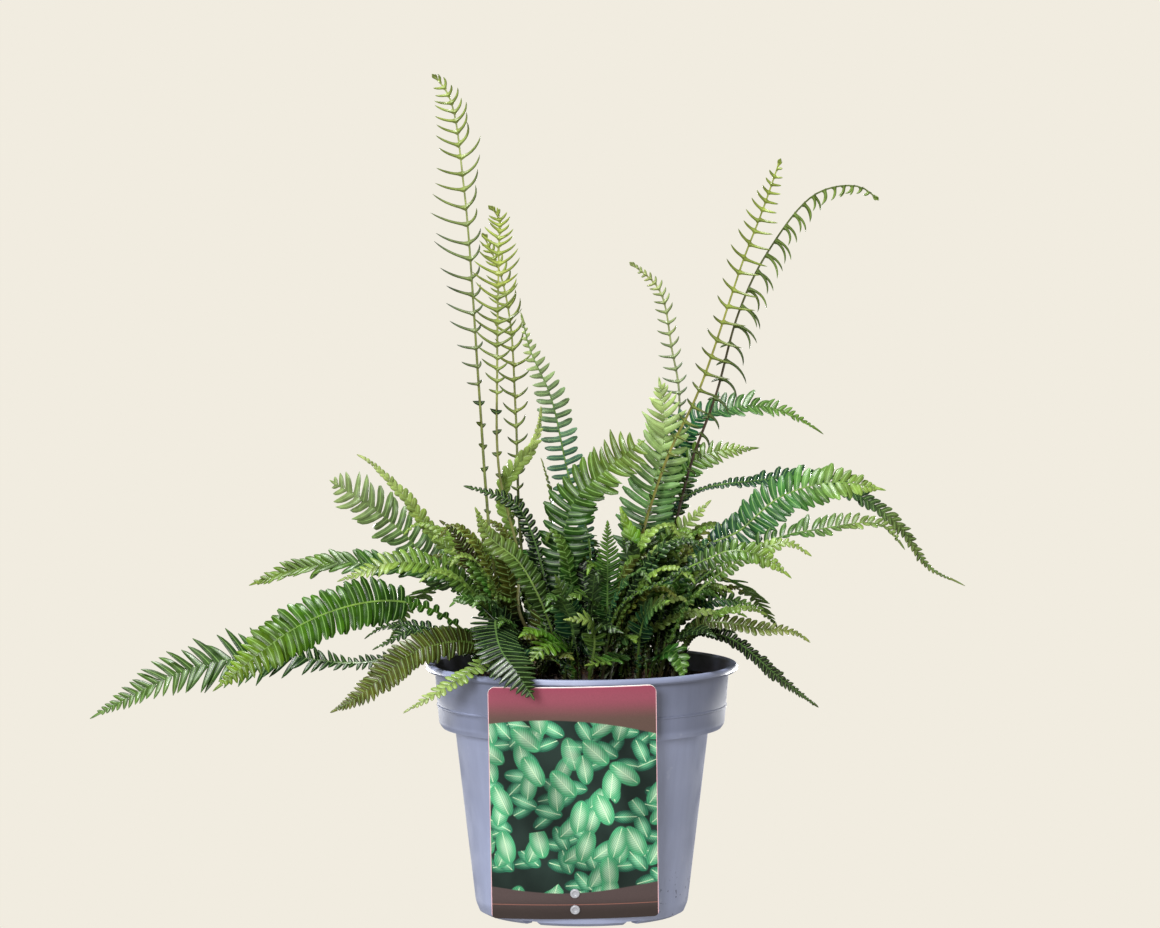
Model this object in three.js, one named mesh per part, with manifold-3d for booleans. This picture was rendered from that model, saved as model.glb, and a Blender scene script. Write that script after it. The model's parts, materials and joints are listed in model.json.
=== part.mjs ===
// Deer fern in a nursery pot, with a leaning plant label. Millimetres, +Z up.
// The origin is the centre of the pot's foot, on the surface that it stands on, and -Y is the front.
import * as THREE from 'three';
import { mergeVertices } from 'three/addons/utils/BufferGeometryUtils.js';
import Module from 'manifold-3d';

const wasm = await Module();
wasm.setup();

const RAD = Math.PI / 180;
const GAP = 0.35;

// Pot: heights and outer radii, from the foot to the lip
const WALL = 1.5;
const FOOT_PAD_R = 16;
const FOOT_RING_R = 46;
const FOOT_RISE = 3.4;
const FOOT_R = 52;
const BODY_LOW = { r: 58, z: 7 };
const BODY_HIGH = { r: 69, z: 101 };
const COLLAR_LOW = { r: 77.8, z: 104.8 };
const COLLAR_LINE_Z = 114.6;
const COLLAR_HIGH = { r: 80.4, z: 133.4 };
const LIP_R = 85;
const POT_HEIGHT = 137.4;
const POT_SIDES = 28;
const DRAINS = 6;
const DRAIN_HOLE_R = 4;
const DRAIN_HOLE_AT = 34;
const FOOT_NOTCH = { wide: 9, tall: 2.4 };

// Soil
const SOIL_SIDES = 14;
const SOIL_TOP = 130;
const SOIL_EDGE_DROP = 2;

// Label: a bent card that touches the lip and leans down to the foot
const LABEL_WIDE = 90;
const LABEL_TALL = 131.4;
const LABEL_THICK = 0.8;
const LABEL_BOW = 3;
const LABEL_CORNER = 4.4;
const LABEL_FOOT_CORNER = 2.6;
const LABEL_LEAN = 11.9;
const LABEL_ROLL = 0.8;
const LABEL_FOOT = { x: -3.5, y: -59, z: 5.5 };
const LABEL_STEPS = 8;
const RIVET_UP = [5.5, 14.8];
const RIVET_HEAD_R = 2.6;
const RIVET_HEAD_TALL = 1.1;
const RIVET_DIMPLE_R = 1.2;
const RIVET_DIMPLE_DEEP = 0.6;
const RIVET_SHANK_R = 1.4;
const RIVET_SHANK = 3;

// Crowns: where the fronds rise, in plan, and the ring of seats round each
const CROWNS = [[-30, -10], [-17, 24], [3, -22], [33, -9], [20, 26]];
const CROWN_R = 7;
const CROWN_RISE = 7;
const CROWN_DEEP = 5;
const CROWN_SCALES = 6;
const CROWN_SCALE = { r: 1.7, tall: 10, lean: 28 };
const SEAT_RING = 11;
const SEAT_DEPTH = 15;
const NECK_RISE = 4;
const NECK_OUT = 2;
const SEAT_GAP = 0.55;

// The plant is laid out as seen from the front, by an eye this far off and this high
const EYE_BACK = 3500;
const EYE_HIGH = 538;

// Blades
const LEAFLET_HALF_THICK = 0.33;
const RIB_HALF_THICK = 0.7;
const STALK_HALF_WIDE = 1.1;
const TIP_HALF_WIDE = 0.5;
const BLADE_END = 0.97;
const FERTILE_STALK_STEPS = 5;
const FERTILE_ROOT = 2.4;
const FERTILE_LIFT = 6;

const TONES = {
  fresh: 0x4f9a2c, deep: 0x2f6a34, mid: 0x3f7f38, light: 0x86b356, olive: 0x6b7a2c,
  dark: 0x24402a, brown: 0x55502c, blue: 0x3c7358, pale: 0xa3bf6c,
};

// Each frond: its crown, the seat's angle round the crown, half its width, its leaflet pairs, the bare
// share of its stalk, the share of its blade that stays narrow, how far its leaflets lift, the side that
// it faces, and its rib's points from low to high: across, height as seen from the front, and depth.
// A fertile frond can also have how fast its leaflets lengthen (ramp), how far they sweep forward and
// the share of its blade past which they hang on one side only.
const LEAFY = [
  { name: 'frond_left_1', crown: 0, seat: 188, tone: 'fresh',
    half: 14, pairs: 15, bare: 0.38, narrow: -0.15, lift: 8, face: [0, -1, 0.35],
    path: [[-66, 156, -20], [-81, 166, -26], [-101, 171, -32], [-124, 169, -38], [-155, 157, -46],
      [-201, 122, -58]] },
  { name: 'frond_left_2', crown: 0, seat: 160, tone: 'deep',
    half: 19, pairs: 16, bare: 0.1, narrow: 0.3, lift: 18, face: [0, -0.8, 0.6],
    path: [[-77, 147, 0], [-99, 141, 2], [-125, 137, 4], [-170, 141, 4], [-213, 134, 2], [-240, 122, 0],
      [-268, 107, -2]] },
  { name: 'frond_left_3', crown: 1, seat: 182, tone: 'mid',
    half: 10.5, pairs: 13, bare: 0.2, narrow: 0.1, lift: 16, face: [0, -0.8, 0.7],
    path: [[-55, 172, 24], [-77, 185, 24], [-127, 192, 34], [-153, 189, 40], [-181, 180, 46]] },
  { name: 'frond_left_4', crown: 0, seat: 100, tone: 'light',
    half: 10, pairs: 9, bare: 0.3, lift: 14, face: [0, -0.6, 0.8],
    path: [[-58, 174, 0], [-77, 189, -3], [-103, 192, -6], [-124, 185, -8], [-133, 182, -9]] },
  { name: 'frond_left_5', crown: 1, seat: 154, tone: 'light',
    half: 14, pairs: 11, bare: 0.3, lift: 10, face: [-0.3, -1, 0],
    path: [[-60, 175, 36], [-85, 195, 42], [-97, 208, 46], [-115, 223, 52], [-137, 237, 60]] },
  { name: 'frond_left_6', crown: 1, seat: 212, tone: 'pale',
    half: 5.5, pairs: 10, bare: 0.3, lift: 25, face: [0.3, -0.9, 0.6],
    path: [[-50, 180, 20], [-61, 193, 20], [-78, 204, 22], [-94, 225, 24], [-115, 247, 26],
      [-122, 251, 27]] },
  { name: 'frond_left_7', crown: 0, seat: 60, tone: 'brown',
    half: 6, pairs: 7, bare: 0.4, lift: 15, face: [0.6, -0.8, 0],
    path: [[-52, 180, -2], [-61, 193, -3], [-70, 209, -5], [-77, 215, -6]] },
  { name: 'frond_left_8', crown: 0, seat: 214, tone: 'olive',
    half: 10, pairs: 14, bare: 0.12, lift: 10, face: [0, -1, 0.5],
    path: [[-60, 148, -28], [-80, 147, -38], [-95, 141, -44], [-109, 129, -50], [-124, 117, -56],
      [-137, 110, -60]] },
  { name: 'frond_left_9', crown: 0, seat: 130, tone: 'dark',
    half: 6, pairs: 9, bare: 0.25, lift: 10, face: [0, -0.5, 1],
    path: [[-60, 146, 8], [-82, 156, 14], [-108, 157, 18], [-118, 151, 20]] },
  { name: 'frond_left_10', crown: 0, seat: 175, ring: 17, tone: 'dark',
    half: 6, pairs: 8, bare: 0.25, lift: 10, face: [0, -0.5, 1],
    path: [[-72, 148, -12], [-94, 155, -16], [-103, 150, -18], [-113, 145, -19]] },
  { name: 'frond_left_11', crown: 0, seat: 240, tone: 'pale',
    half: 6, pairs: 9, bare: 0.25, lift: 10, face: [0, -0.5, 1],
    path: [[-50, 139, -50], [-60, 133, -66], [-77, 122, -80], [-97, 110, -90]] },
  { name: 'frond_left_12', crown: 0, seat: 285, tone: 'dark',
    half: 13, pairs: 12, bare: 0.22, lift: -8, face: [0.2, -1, 0.6],
    path: [[-46, 160, -40], [-47, 156, -56], [-44, 144, -78], [-35, 131, -94], [-26, 117, -102]] },
  { name: 'frond_left_13', crown: 2, seat: 145, tone: 'dark',
    half: 4.5, pairs: 9, bare: 0.45, lift: 10, face: [0, -1, 0.3],
    path: [[-18, 175, -16], [-28, 210, -16], [-36, 224, -17], [-53, 231, -18], [-64, 234, -19]] },
  { name: 'frond_left_14', crown: 1, seat: 300, tone: 'pale',
    half: 6, pairs: 9, bare: 0.45, lift: 10, face: [0.4, -1, 0],
    path: [[-28, 165, 14], [-36, 204, 8], [-43, 232, 6], [-25, 259, 6], [-22, 277, 6]] },
  { name: 'frond_left_15', crown: 2, seat: 172, tone: 'light',
    half: 7, pairs: 9, bare: 0.25, lift: 10, face: [0.3, -1, 0.2],
    path: [[-20, 165, -24], [-34, 192, -27], [-51, 207, -29], [-58, 222, -30]] },
  { name: 'frond_mid_1', crown: 2, seat: 80, tone: 'blue',
    half: 10, pairs: 15, bare: 0.25, narrow: 0.1, lift: 8, face: [0.3, -1, 0],
    path: [[4, 165, 4], [4, 204, 18], [-7, 239, 22], [-17, 283, 25], [-28, 308, 26], [-33, 328, 26]] },
  { name: 'frond_mid_2', crown: 1, seat: 335, tone: 'pale',
    half: 4, pairs: 8, bare: 0.5, lift: 10, face: [1, -0.3, 0],
    path: [[-16, 170, 16], [-16, 203, 14], [-17, 231, 14], [-22, 249, 14]] },
  { name: 'frond_mid_3', crown: 2, seat: 112, tone: 'mid',
    half: 15, pairs: 13, bare: 0.25, lift: 12, face: [-0.2, -1, 0.5],
    path: [[-10, 165, -10], [-12, 193, -8], [-4, 226, -7], [10, 240, -6], [23, 251, -6], [34, 259, -6]] },
  { name: 'frond_mid_4', crown: 4, seat: 270, tone: 'mid',
    half: 16, pairs: 15, bare: 0.2, lift: 8, face: [0, -1, 0.1],
    path: [[28, 165, 14], [32, 193, 12], [36, 224, 12], [44, 254, 13], [45, 268, 13], [42, 293, 14]] },
  { name: 'frond_mid_5', crown: 2, seat: 20, tone: 'deep',
    half: 8, pairs: 10, bare: 0.2, lift: 12, face: [0.3, -1, 0],
    path: [[14, 165, -26], [14, 182, -28], [14, 215, -30]] },
  { name: 'frond_mid_6', crown: 2, seat: 350, tone: 'fresh',
    half: 7, pairs: 6, bare: 0.45, lift: 10, face: [0, -1, 0.3],
    path: [[24, 165, -20], [30, 193, -18], [21, 222, -16]] },
  { name: 'frond_right_1', crown: 4, seat: 25, tone: 'blue',
    half: 13, pairs: 13, bare: 0.35, narrow: 0.05, lift: 22, face: [0, -0.6, 0.9],
    path: [[40, 180, 38], [47, 235, 46], [59, 268, 48], [83, 277, 48], [101, 277, 48], [116, 272, 48],
      [131, 263, 48]] },
  { name: 'frond_right_2', crown: 4, seat: 0, tone: 'mid',
    half: 10, pairs: 10, bare: 0.42, lift: 12, face: [0, -0.8, 0.6],
    path: [[42, 185, 32], [53, 238, 35], [67, 251, 35], [96, 255, 36]] },
  { name: 'frond_right_3', crown: 3, seat: 20, tone: 'fresh',
    half: 13, pairs: 13, bare: 0.44, narrow: -0.12, lift: 10, face: [0, -1, 0.5],
    path: [[56, 180, -10], [64, 199, -12], [85, 209, -14], [108, 228, -17], [137, 236, -20],
      [165, 232, -22]] },
  { name: 'frond_right_4', crown: 4, seat: 345, ring: 17, tone: 'deep',
    half: 9, pairs: 15, bare: 0.35, narrow: 0.05, lift: 12, face: [0, -0.5, 1],
    path: [[44, 180, 26], [49, 218, 26], [62, 231, 26], [96, 237, 26], [121, 239, 26], [150, 229, 22],
      [173, 212, 18], [189, 190, 14], [208, 180, 10]] },
  { name: 'frond_right_5', crown: 3, seat: 350, tone: 'mid',
    half: 10, pairs: 13, bare: 0.3, narrow: 0.15, lift: 25, face: [0, -0.5, 1],
    path: [[60, 178, -20], [86, 196, -26], [111, 207, -29], [127, 210, -30], [163, 213, -32],
      [176, 200, -33]] },
  { name: 'frond_right_6', crown: 3, seat: 318, tone: 'light',
    half: 5, pairs: 7, bare: 0.45, lift: 10, face: [0, -0.8, 0.6],
    path: [[60, 172, -36], [84, 192, -42], [102, 201, -44], [113, 203, -45], [125, 196, -46]] },
  { name: 'frond_right_7', crown: 2, seat: 310, tone: 'fresh',
    half: 6.5, pairs: 9, bare: 0.6, narrow: -0.1, lift: 10, face: [0, -0.8, 0.6],
    path: [[20, 167, -38], [44, 182, -54], [66, 193, -60], [83, 199, -64], [101, 194, -66],
      [114, 184, -68]] },
  { name: 'frond_right_8', crown: 3, seat: 334, ring: 17, tone: 'olive',
    half: 6, pairs: 13, bare: 0.15, lift: 15, face: [0, -0.7, 0.8],
    path: [[64, 158, -26], [79, 159, -30], [96, 156, -33], [116, 154, -36], [124, 149, -37]] },
  { name: 'frond_right_9', crown: 3, seat: 4, ring: 17, tone: 'dark',
    half: 5, pairs: 14, bare: 0.15, lift: 10, face: [0.2, -0.7, 0.8],
    path: [[62, 153, -10], [72, 153, -10], [84, 149, -10], [109, 128, -12], [129, 113, -14]] },
  { name: 'frond_right_10', crown: 3, seat: 288, tone: 'deep',
    half: 7, pairs: 7, bare: 0.2, lift: 10, face: [0, -0.6, 0.8],
    path: [[43, 142, -38], [51, 143, -46], [55, 134, -52], [56, 128, -54]] },
  { name: 'frond_right_11', crown: 3, seat: 205, tone: 'mid',
    half: 7, pairs: 7, bare: 0.4, lift: 22, face: [0, -0.5, 1],
    path: [[24, 141, -32], [15, 138, -48], [3, 136, -58]] },
  { name: 'frond_right_12', crown: 3, seat: 48, tone: 'blue',
    half: 5, pairs: 7, bare: 0.35, lift: 10, face: [0, -0.8, 0.6],
    path: [[60, 166, 4], [79, 172, 8], [98, 167, 10]] },
  { name: 'frond_right_13', crown: 3, seat: 105, tone: 'light',
    half: 7, pairs: 8, bare: 0.4, lift: 10, face: [-0.2, -1, 0.3],
    path: [[37, 165, -2], [41, 193, -3], [59, 215, -5], [70, 226, -6]] },
  { name: 'frond_heart_1', crown: 2, seat: 200, tone: 'blue',
    half: 10, pairs: 8, bare: 0.2, lift: 10, face: [0, -0.7, 0.7],
    path: [[-5, 152, -32], [-10, 172, -42], [-14, 184, -50]] },
  { name: 'frond_heart_2', crown: 2, seat: 235, tone: 'fresh',
    half: 9, pairs: 8, bare: 0.2, lift: 10, face: [0, -0.7, 0.7],
    path: [[-8, 146, -44], [-18, 147, -58], [-28, 138, -68]] },
  { name: 'frond_heart_3', crown: 2, seat: 275, tone: 'light',
    half: 7, pairs: 7, bare: 0.2, lift: 10, face: [0, -0.7, 0.7],
    path: [[7, 148, -42], [4, 160, -54], [-8, 161, -58]] },
  { name: 'frond_heart_4', crown: 3, seat: 258, tone: 'blue',
    half: 8, pairs: 8, bare: 0.2, lift: 10, face: [0, -0.8, 0.6],
    path: [[32, 154, -31], [37, 166, -46], [47, 171, -58]] },
  { name: 'frond_back_1', crown: 1, seat: 125, tone: 'mid',
    half: 12, pairs: 9, bare: 0.2, lift: 10, face: [0, 0, 1],
    path: [[-44, 165, 60], [-66, 180, 84], [-90, 172, 112], [-105, 150, 130]] },
  { name: 'frond_back_2', crown: 1, seat: 95, tone: 'deep',
    half: 12, pairs: 9, bare: 0.2, lift: 10, face: [0, 0, 1],
    path: [[-28, 175, 66], [-34, 198, 96], [-38, 190, 130], [-40, 166, 158]] },
  { name: 'frond_back_3', crown: 1, seat: 62, tone: 'mid',
    half: 12, pairs: 9, bare: 0.2, lift: 10, face: [0, 0, 1],
    path: [[-12, 180, 60], [-6, 205, 88], [0, 200, 120], [4, 176, 150]] },
  { name: 'frond_back_4', crown: 4, seat: 95, tone: 'fresh',
    half: 12, pairs: 9, bare: 0.2, lift: 10, face: [0, 0, 1],
    path: [[28, 178, 66], [32, 200, 96], [36, 190, 130], [38, 165, 156]] },
  { name: 'frond_back_5', crown: 4, seat: 62, tone: 'mid',
    half: 12, pairs: 9, bare: 0.2, lift: 10, face: [0, 0, 1],
    path: [[46, 170, 58], [64, 185, 82], [88, 178, 104], [108, 155, 124]] },
  { name: 'frond_back_6', crown: 4, seat: 130, tone: 'deep',
    half: 10, pairs: 8, bare: 0.2, lift: 10, face: [0, 0, 1],
    path: [[13, 158, 60], [12, 166, 90], [13, 152, 126]] },
];

const FERTILE = [
  { name: 'fertile_1', crown: 1, seat: 240, tone: 'dark',
    half: 19, pairs: 17, bare: 0.48, face: [0, -1, 0],
    path: [[-40, 165, 16], [-48, 190, 14], [-52, 229, 14], [-56, 288, 14], [-64, 397, 14], [-72, 446, 15],
      [-82, 459, 15]] },
  { name: 'fertile_2', crown: 0, seat: 20, tone: 'olive',
    half: 16, pairs: 15, bare: 0.6, face: [0, -1, 0],
    path: [[-34, 165, -6], [-34, 193, -4], [-45, 242, -3], [-46, 300, -3], [-45, 365, -3], [-45, 380, -4],
      [-51, 387, -5]] },
  { name: 'fertile_3', crown: 1, seat: 20, tone: 'olive',
    half: 14, pairs: 16, ramp: 1, bare: 0.42, face: [0, -1, 0],
    path: [[-24, 165, 34], [-32, 193, 36], [-36, 275, 37], [-39, 324, 37], [-45, 352, 37],
      [-54, 372, 37]] },
  { name: 'fertile_4', crown: 4, seat: 28, ring: 17, tone: 'pale',
    half: 8, pairs: 17, bare: 0.48, face: [0, -1, 0],
    path: [[45, 165, 46], [47, 193, 55], [53, 283, 60], [49, 308, 60], [42, 341, 60], [26, 356, 60]] },
  { name: 'fertile_5', crown: 3, seat: 140, tone: 'olive',
    half: 14, pairs: 18, sweep: 6, bare: 0.38, face: [0, -1, 0],
    path: [[28, 165, -2], [30, 194, 0], [46, 248, 2], [64, 287, 2], [88, 358, 2], [98, 384, 2],
      [108, 413, 2]] },
  { name: 'fertile_6', crown: 4, seat: 320, tone: 'dark',
    half: 14, pairs: 19, hang: 0.42, sweep: -24, bare: 0.35, face: [0, -1, 0],
    path: [[42, 175, 22], [51, 213, 22], [60, 248, 22], [73, 284, 22], [85, 328, 22], [100, 360, 22],
      [127, 393, 22], [150, 397, 22], [162, 389, 22]] },
];

function material(colour, roughness) {
  return new THREE.MeshStandardMaterial({ color: colour, roughness, metalness: 0 });
}

function piece(name, geometry, colour, roughness) {
  const mesh = new THREE.Mesh(geometry, material(colour, roughness));
  mesh.name = name;
  return mesh;
}

// A geometry with shared corners and no empty triangles
function closed(geometry) {
  const bare = new THREE.BufferGeometry();
  bare.setAttribute('position', geometry.getAttribute('position').clone());
  bare.setIndex(geometry.getIndex());
  const merged = mergeVertices(bare, 1e-4);
  const index = merged.getIndex().array;
  const kept = [];
  for (let t = 0; t < index.length; t += 3) {
    const [a, b, c] = [index[t], index[t + 1], index[t + 2]];
    if (a !== b && b !== c && c !== a) kept.push(a, b, c);
  }
  merged.setIndex(kept);
  return merged;
}

// The same geometry with its faces pointing out
function outward(geometry) {
  const corner = geometry.getAttribute('position');
  const index = geometry.getIndex().array;
  const [a, b, c] = [new THREE.Vector3(), new THREE.Vector3(), new THREE.Vector3()];
  let volume = 0;
  for (let t = 0; t < index.length; t += 3) {
    a.fromBufferAttribute(corner, index[t]);
    b.fromBufferAttribute(corner, index[t + 1]);
    c.fromBufferAttribute(corner, index[t + 2]);
    volume += a.dot(b.cross(c));
  }
  if (volume < 0) geometry.setIndex(Array.from(index).reverse());
  return geometry;
}

function solid(geometry) {
  const ready = outward(closed(geometry));
  return new wasm.Manifold(new wasm.Mesh({
    numProp: 3,
    vertProperties: new Float32Array(ready.getAttribute('position').array),
    triVerts: new Uint32Array(ready.getIndex().array),
  }));
}

function surface(manifold) {
  const mesh = manifold.getMesh();
  const geometry = new THREE.BufferGeometry();
  geometry.setAttribute('position', new THREE.BufferAttribute(mesh.vertProperties, 3));
  geometry.setIndex(new THREE.BufferAttribute(mesh.triVerts, 1));
  return geometry;
}

// A turned shape round the Z axis, from [radius, height] points
function turned(profile, sides) {
  const points = profile.map(([r, z]) => new THREE.Vector2(r, z));
  return new THREE.LatheGeometry(points, sides).rotateX(90 * RAD);
}

function potSolid() {
  const outside = [
    [0, 0], [FOOT_PAD_R, 0], [FOOT_PAD_R, FOOT_RISE], [FOOT_RING_R, FOOT_RISE], [FOOT_RING_R, 0],
    [FOOT_R, 0], [FOOT_R + 4, 2], [BODY_LOW.r, BODY_LOW.z], [BODY_HIGH.r, BODY_HIGH.z],
    [COLLAR_LOW.r - 2, BODY_HIGH.z + 1.5], [COLLAR_LOW.r, COLLAR_LOW.z],
    [COLLAR_LOW.r + 0.4, COLLAR_LINE_Z - 0.8], [COLLAR_LOW.r + 1.2, COLLAR_LINE_Z],
    [COLLAR_HIGH.r, COLLAR_HIGH.z], [LIP_R - 1, COLLAR_HIGH.z + 0.2], [LIP_R, COLLAR_HIGH.z + 1.4],
    [LIP_R - 0.6, POT_HEIGHT - 0.8], [LIP_R - 2.4, POT_HEIGHT],
  ];
  const inside = [
    [COLLAR_HIGH.r - 0.6, POT_HEIGHT - 1], [COLLAR_HIGH.r - WALL, COLLAR_HIGH.z - 2],
    [COLLAR_LOW.r - WALL, COLLAR_LOW.z + 0.8], [COLLAR_LOW.r - 3.4, BODY_HIGH.z + 3],
    [BODY_HIGH.r - WALL, BODY_HIGH.z + 1.2], [BODY_LOW.r - WALL, BODY_LOW.z + 0.6],
    [FOOT_R, FOOT_RISE + WALL], [0, FOOT_RISE + WALL],
  ];
  let pot = solid(turned([...outside, ...inside], POT_SIDES));
  for (let k = 0; k < DRAINS; k += 1) {
    const turn = k * 360 / DRAINS * RAD;
    const hole = new THREE.CylinderGeometry(DRAIN_HOLE_R, DRAIN_HOLE_R, 12, 8).rotateX(90 * RAD);
    const notch = new THREE.BoxGeometry(20, FOOT_NOTCH.wide, FOOT_NOTCH.tall * 2).translate(FOOT_R, 0, 0);
    pot = pot.subtract(solid(hole.translate(DRAIN_HOLE_AT, 0, FOOT_RISE).rotateZ(turn)));
    pot = pot.subtract(solid(notch.rotateZ(turn)));
  }
  return pot;
}

function soilSolid() {
  const floor = FOOT_RISE + WALL + GAP;
  const side = WALL + GAP;
  const profile = [
    [0, floor], [FOOT_R - 1, floor], [BODY_LOW.r - side, BODY_LOW.z + 1],
    [BODY_HIGH.r - side, BODY_HIGH.z + 1.6],
    [COLLAR_LOW.r - 4, BODY_HIGH.z + 3.6], [COLLAR_LOW.r - side, COLLAR_LOW.z + 1.6],
    [COLLAR_HIGH.r - side - 1.2, SOIL_TOP - SOIL_EDGE_DROP], [62, SOIL_TOP - 2.5], [34, SOIL_TOP],
    [0, SOIL_TOP + 0.5],
  ];
  const shape = closed(turned(profile, SOIL_SIDES));
  const corner = shape.getAttribute('position');
  for (let i = 0; i < corner.count; i += 1) {
    const [x, y, z] = [corner.getX(i), corner.getY(i), corner.getZ(i)];
    if (z > SOIL_TOP - 4) corner.setZ(i, z + Math.sin(x / 7) * Math.cos(y / 9));
  }
  return solid(shape);
}

// Label: a bowed card with round upper corners, made upright and then leaned
function leaned(geometry) {
  return geometry.rotateX(LABEL_LEAN * RAD).rotateY(-LABEL_ROLL * RAD)
    .translate(LABEL_FOOT.x, LABEL_FOOT.y, LABEL_FOOT.z);
}

function rivetBore(up, radius, reach) {
  const bore = new THREE.CylinderGeometry(radius, radius, reach, 10);
  return leaned(bore.translate(0, 0, up));
}

function labelGeometry() {
  const half = LABEL_WIDE / 2;
  const back = [];
  for (let k = 0; k <= LABEL_STEPS; k += 1) {
    const u = -half - 1 + k * (LABEL_WIDE + 2) / LABEL_STEPS;
    back.push(new THREE.Vector2(u, LABEL_BOW * (u / half) ** 2));
  }
  const front = back.map((point) => new THREE.Vector2(point.x, point.y - LABEL_THICK)).reverse();
  const band = new THREE.Shape([...back, ...front]);
  const slab = new THREE.ExtrudeGeometry(band, { depth: LABEL_TALL, bevelEnabled: false });

  const outline = new THREE.Shape();
  outline.moveTo(-half + LABEL_FOOT_CORNER, 0);
  outline.lineTo(half - LABEL_FOOT_CORNER, 0);
  outline.absarc(half - LABEL_FOOT_CORNER, LABEL_FOOT_CORNER, LABEL_FOOT_CORNER, -90 * RAD, 0);
  outline.lineTo(half, LABEL_TALL - LABEL_CORNER);
  outline.absarc(half - LABEL_CORNER, LABEL_TALL - LABEL_CORNER, LABEL_CORNER, 0, 90 * RAD);
  outline.absarc(-half + LABEL_CORNER, LABEL_TALL - LABEL_CORNER, LABEL_CORNER, 90 * RAD, 180 * RAD);
  outline.absarc(-half + LABEL_FOOT_CORNER, LABEL_FOOT_CORNER, LABEL_FOOT_CORNER, 180 * RAD, 270 * RAD);
  const cutter = new THREE.ExtrudeGeometry(outline, { depth: 20, bevelEnabled: false, curveSegments: 4 });
  cutter.rotateX(90 * RAD).translate(0, 10, 0);

  const card = solid(slab).intersect(solid(cutter));
  let leaning = solid(leaned(surface(card)));
  for (const up of RIVET_UP) {
    leaning = leaning.subtract(solid(rivetBore(up, RIVET_SHANK_R + GAP, 12)));
  }
  return surface(leaning);
}

function rivetGeometry(up) {
  const under = -LABEL_THICK - GAP;
  const face = under - RIVET_HEAD_TALL;
  const profile = [
    [0, face + RIVET_DIMPLE_DEEP], [RIVET_DIMPLE_R, face + RIVET_DIMPLE_DEEP], [RIVET_DIMPLE_R + 0.4, face],
    [RIVET_HEAD_R - 0.4, face], [RIVET_HEAD_R, under], [RIVET_SHANK_R, under],
    [RIVET_SHANK_R, RIVET_SHANK], [0, RIVET_SHANK],
  ];
  const shape = turned(profile, 8).rotateX(-90 * RAD);
  return outward(closed(leaned(shape.translate(0, 0, up))));
}

// The place that an eye at the front sees at [across, height] when it lies at a depth
function placed([x, height, depth]) {
  const scale = (EYE_BACK + depth) / EYE_BACK;
  return new THREE.Vector3(x * scale, depth, EYE_HIGH + (height - EYE_HIGH) * scale);
}

// A thin sheet: points with their own normal and half thickness, and triangles seen from the upper side
class Sheet {
  constructor() {
    this.upper = [];
    this.lower = [];
    this.faces = [];
  }

  point(place, normal, halfThick) {
    this.upper.push(place.clone().addScaledVector(normal, halfThick));
    this.lower.push(place.clone().addScaledVector(normal, -halfThick));
    return this.upper.length - 1;
  }

  // A fan of triangles over a run of points, anticlockwise from above
  fan(...points) {
    for (let k = 1; k + 1 < points.length; k += 1) this.faces.push([points[0], points[k], points[k + 1]]);
  }

  // Upper and lower faces split alike, with walls along the open edges
  geometry() {
    const count = this.upper.length;
    const open = new Map();
    const index = [];
    for (const [a, b, c] of this.faces) {
      index.push(a, b, c, count + a, count + c, count + b);
      for (const [from, to] of [[a, b], [b, c], [c, a]]) {
        if (!open.delete(`${to} ${from}`)) open.set(`${from} ${to}`, [from, to]);
      }
    }
    for (const [from, to] of open.values()) {
      index.push(from, count + from, to, to, count + from, count + to);
    }
    const corners = [...this.upper, ...this.lower].flatMap((p) => p.toArray());
    const geometry = new THREE.BufferGeometry();
    geometry.setAttribute('position', new THREE.Float32BufferAttribute(corners, 3));
    geometry.setIndex(index);
    return geometry;
  }
}

// Tangent, side and normal of a rib at one place, with the blade turned to face a given way
function ribFrame(place, tangent, face) {
  const normal = face.clone().addScaledVector(tangent, -face.dot(tangent)).normalize();
  const side = tangent.clone().cross(normal);
  return { place, tangent, side, normal };
}

// The rib of a frond: the straight foot in the soil, the bare stalk and the leafy stretch
class Rib {
  constructor(spec) {
    const [cx, cy] = CROWNS[spec.crown];
    const ring = spec.ring ?? SEAT_RING;
    const out = new THREE.Vector3(Math.cos(spec.seat * RAD), Math.sin(spec.seat * RAD), 0);
    this.foot = new THREE.Vector3(cx, cy, SOIL_TOP - SEAT_DEPTH).addScaledVector(out, ring);
    this.neck = new THREE.Vector3(cx, cy, SOIL_TOP + NECK_RISE).addScaledVector(out, ring + NECK_OUT);
    this.face = new THREE.Vector3(...spec.face);
    this.curve = new THREE.CatmullRomCurve3(
      [this.foot, this.neck, ...spec.path.map(placed)], false, 'centripetal');
    this.curve.arcLengthDivisions = 400;
    this.start = this.foot.distanceTo(this.neck) / this.curve.getLength();
  }

  // The frame at a share of the way from the neck to the tip
  at(share) {
    const u = this.start + (1 - this.start) * share;
    return ribFrame(this.curve.getPointAt(u), this.curve.getTangentAt(u).normalize(), this.face);
  }

  footFrame() {
    const tangent = this.neck.clone().sub(this.foot).normalize();
    return ribFrame(this.foot, tangent, this.face);
  }

  halfWide(share) {
    return STALK_HALF_WIDE + (TIP_HALF_WIDE - STALK_HALF_WIDE) * share;
  }

  halfThick(share) {
    return RIB_HALF_THICK + (LEAFLET_HALF_THICK - RIB_HALF_THICK) * share;
  }

  length() {
    return this.curve.getLength() * (1 - this.start);
  }
}

// Two edge points of the rib at a frame, added to the sheet
function edgePoints(sheet, frame, halfWide, halfThick) {
  const left = frame.place.clone().addScaledVector(frame.side, -halfWide);
  const right = frame.place.clone().addScaledVector(frame.side, halfWide);
  return {
    left: sheet.point(left, frame.normal, halfThick),
    right: sheet.point(right, frame.normal, halfThick),
  };
}

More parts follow.
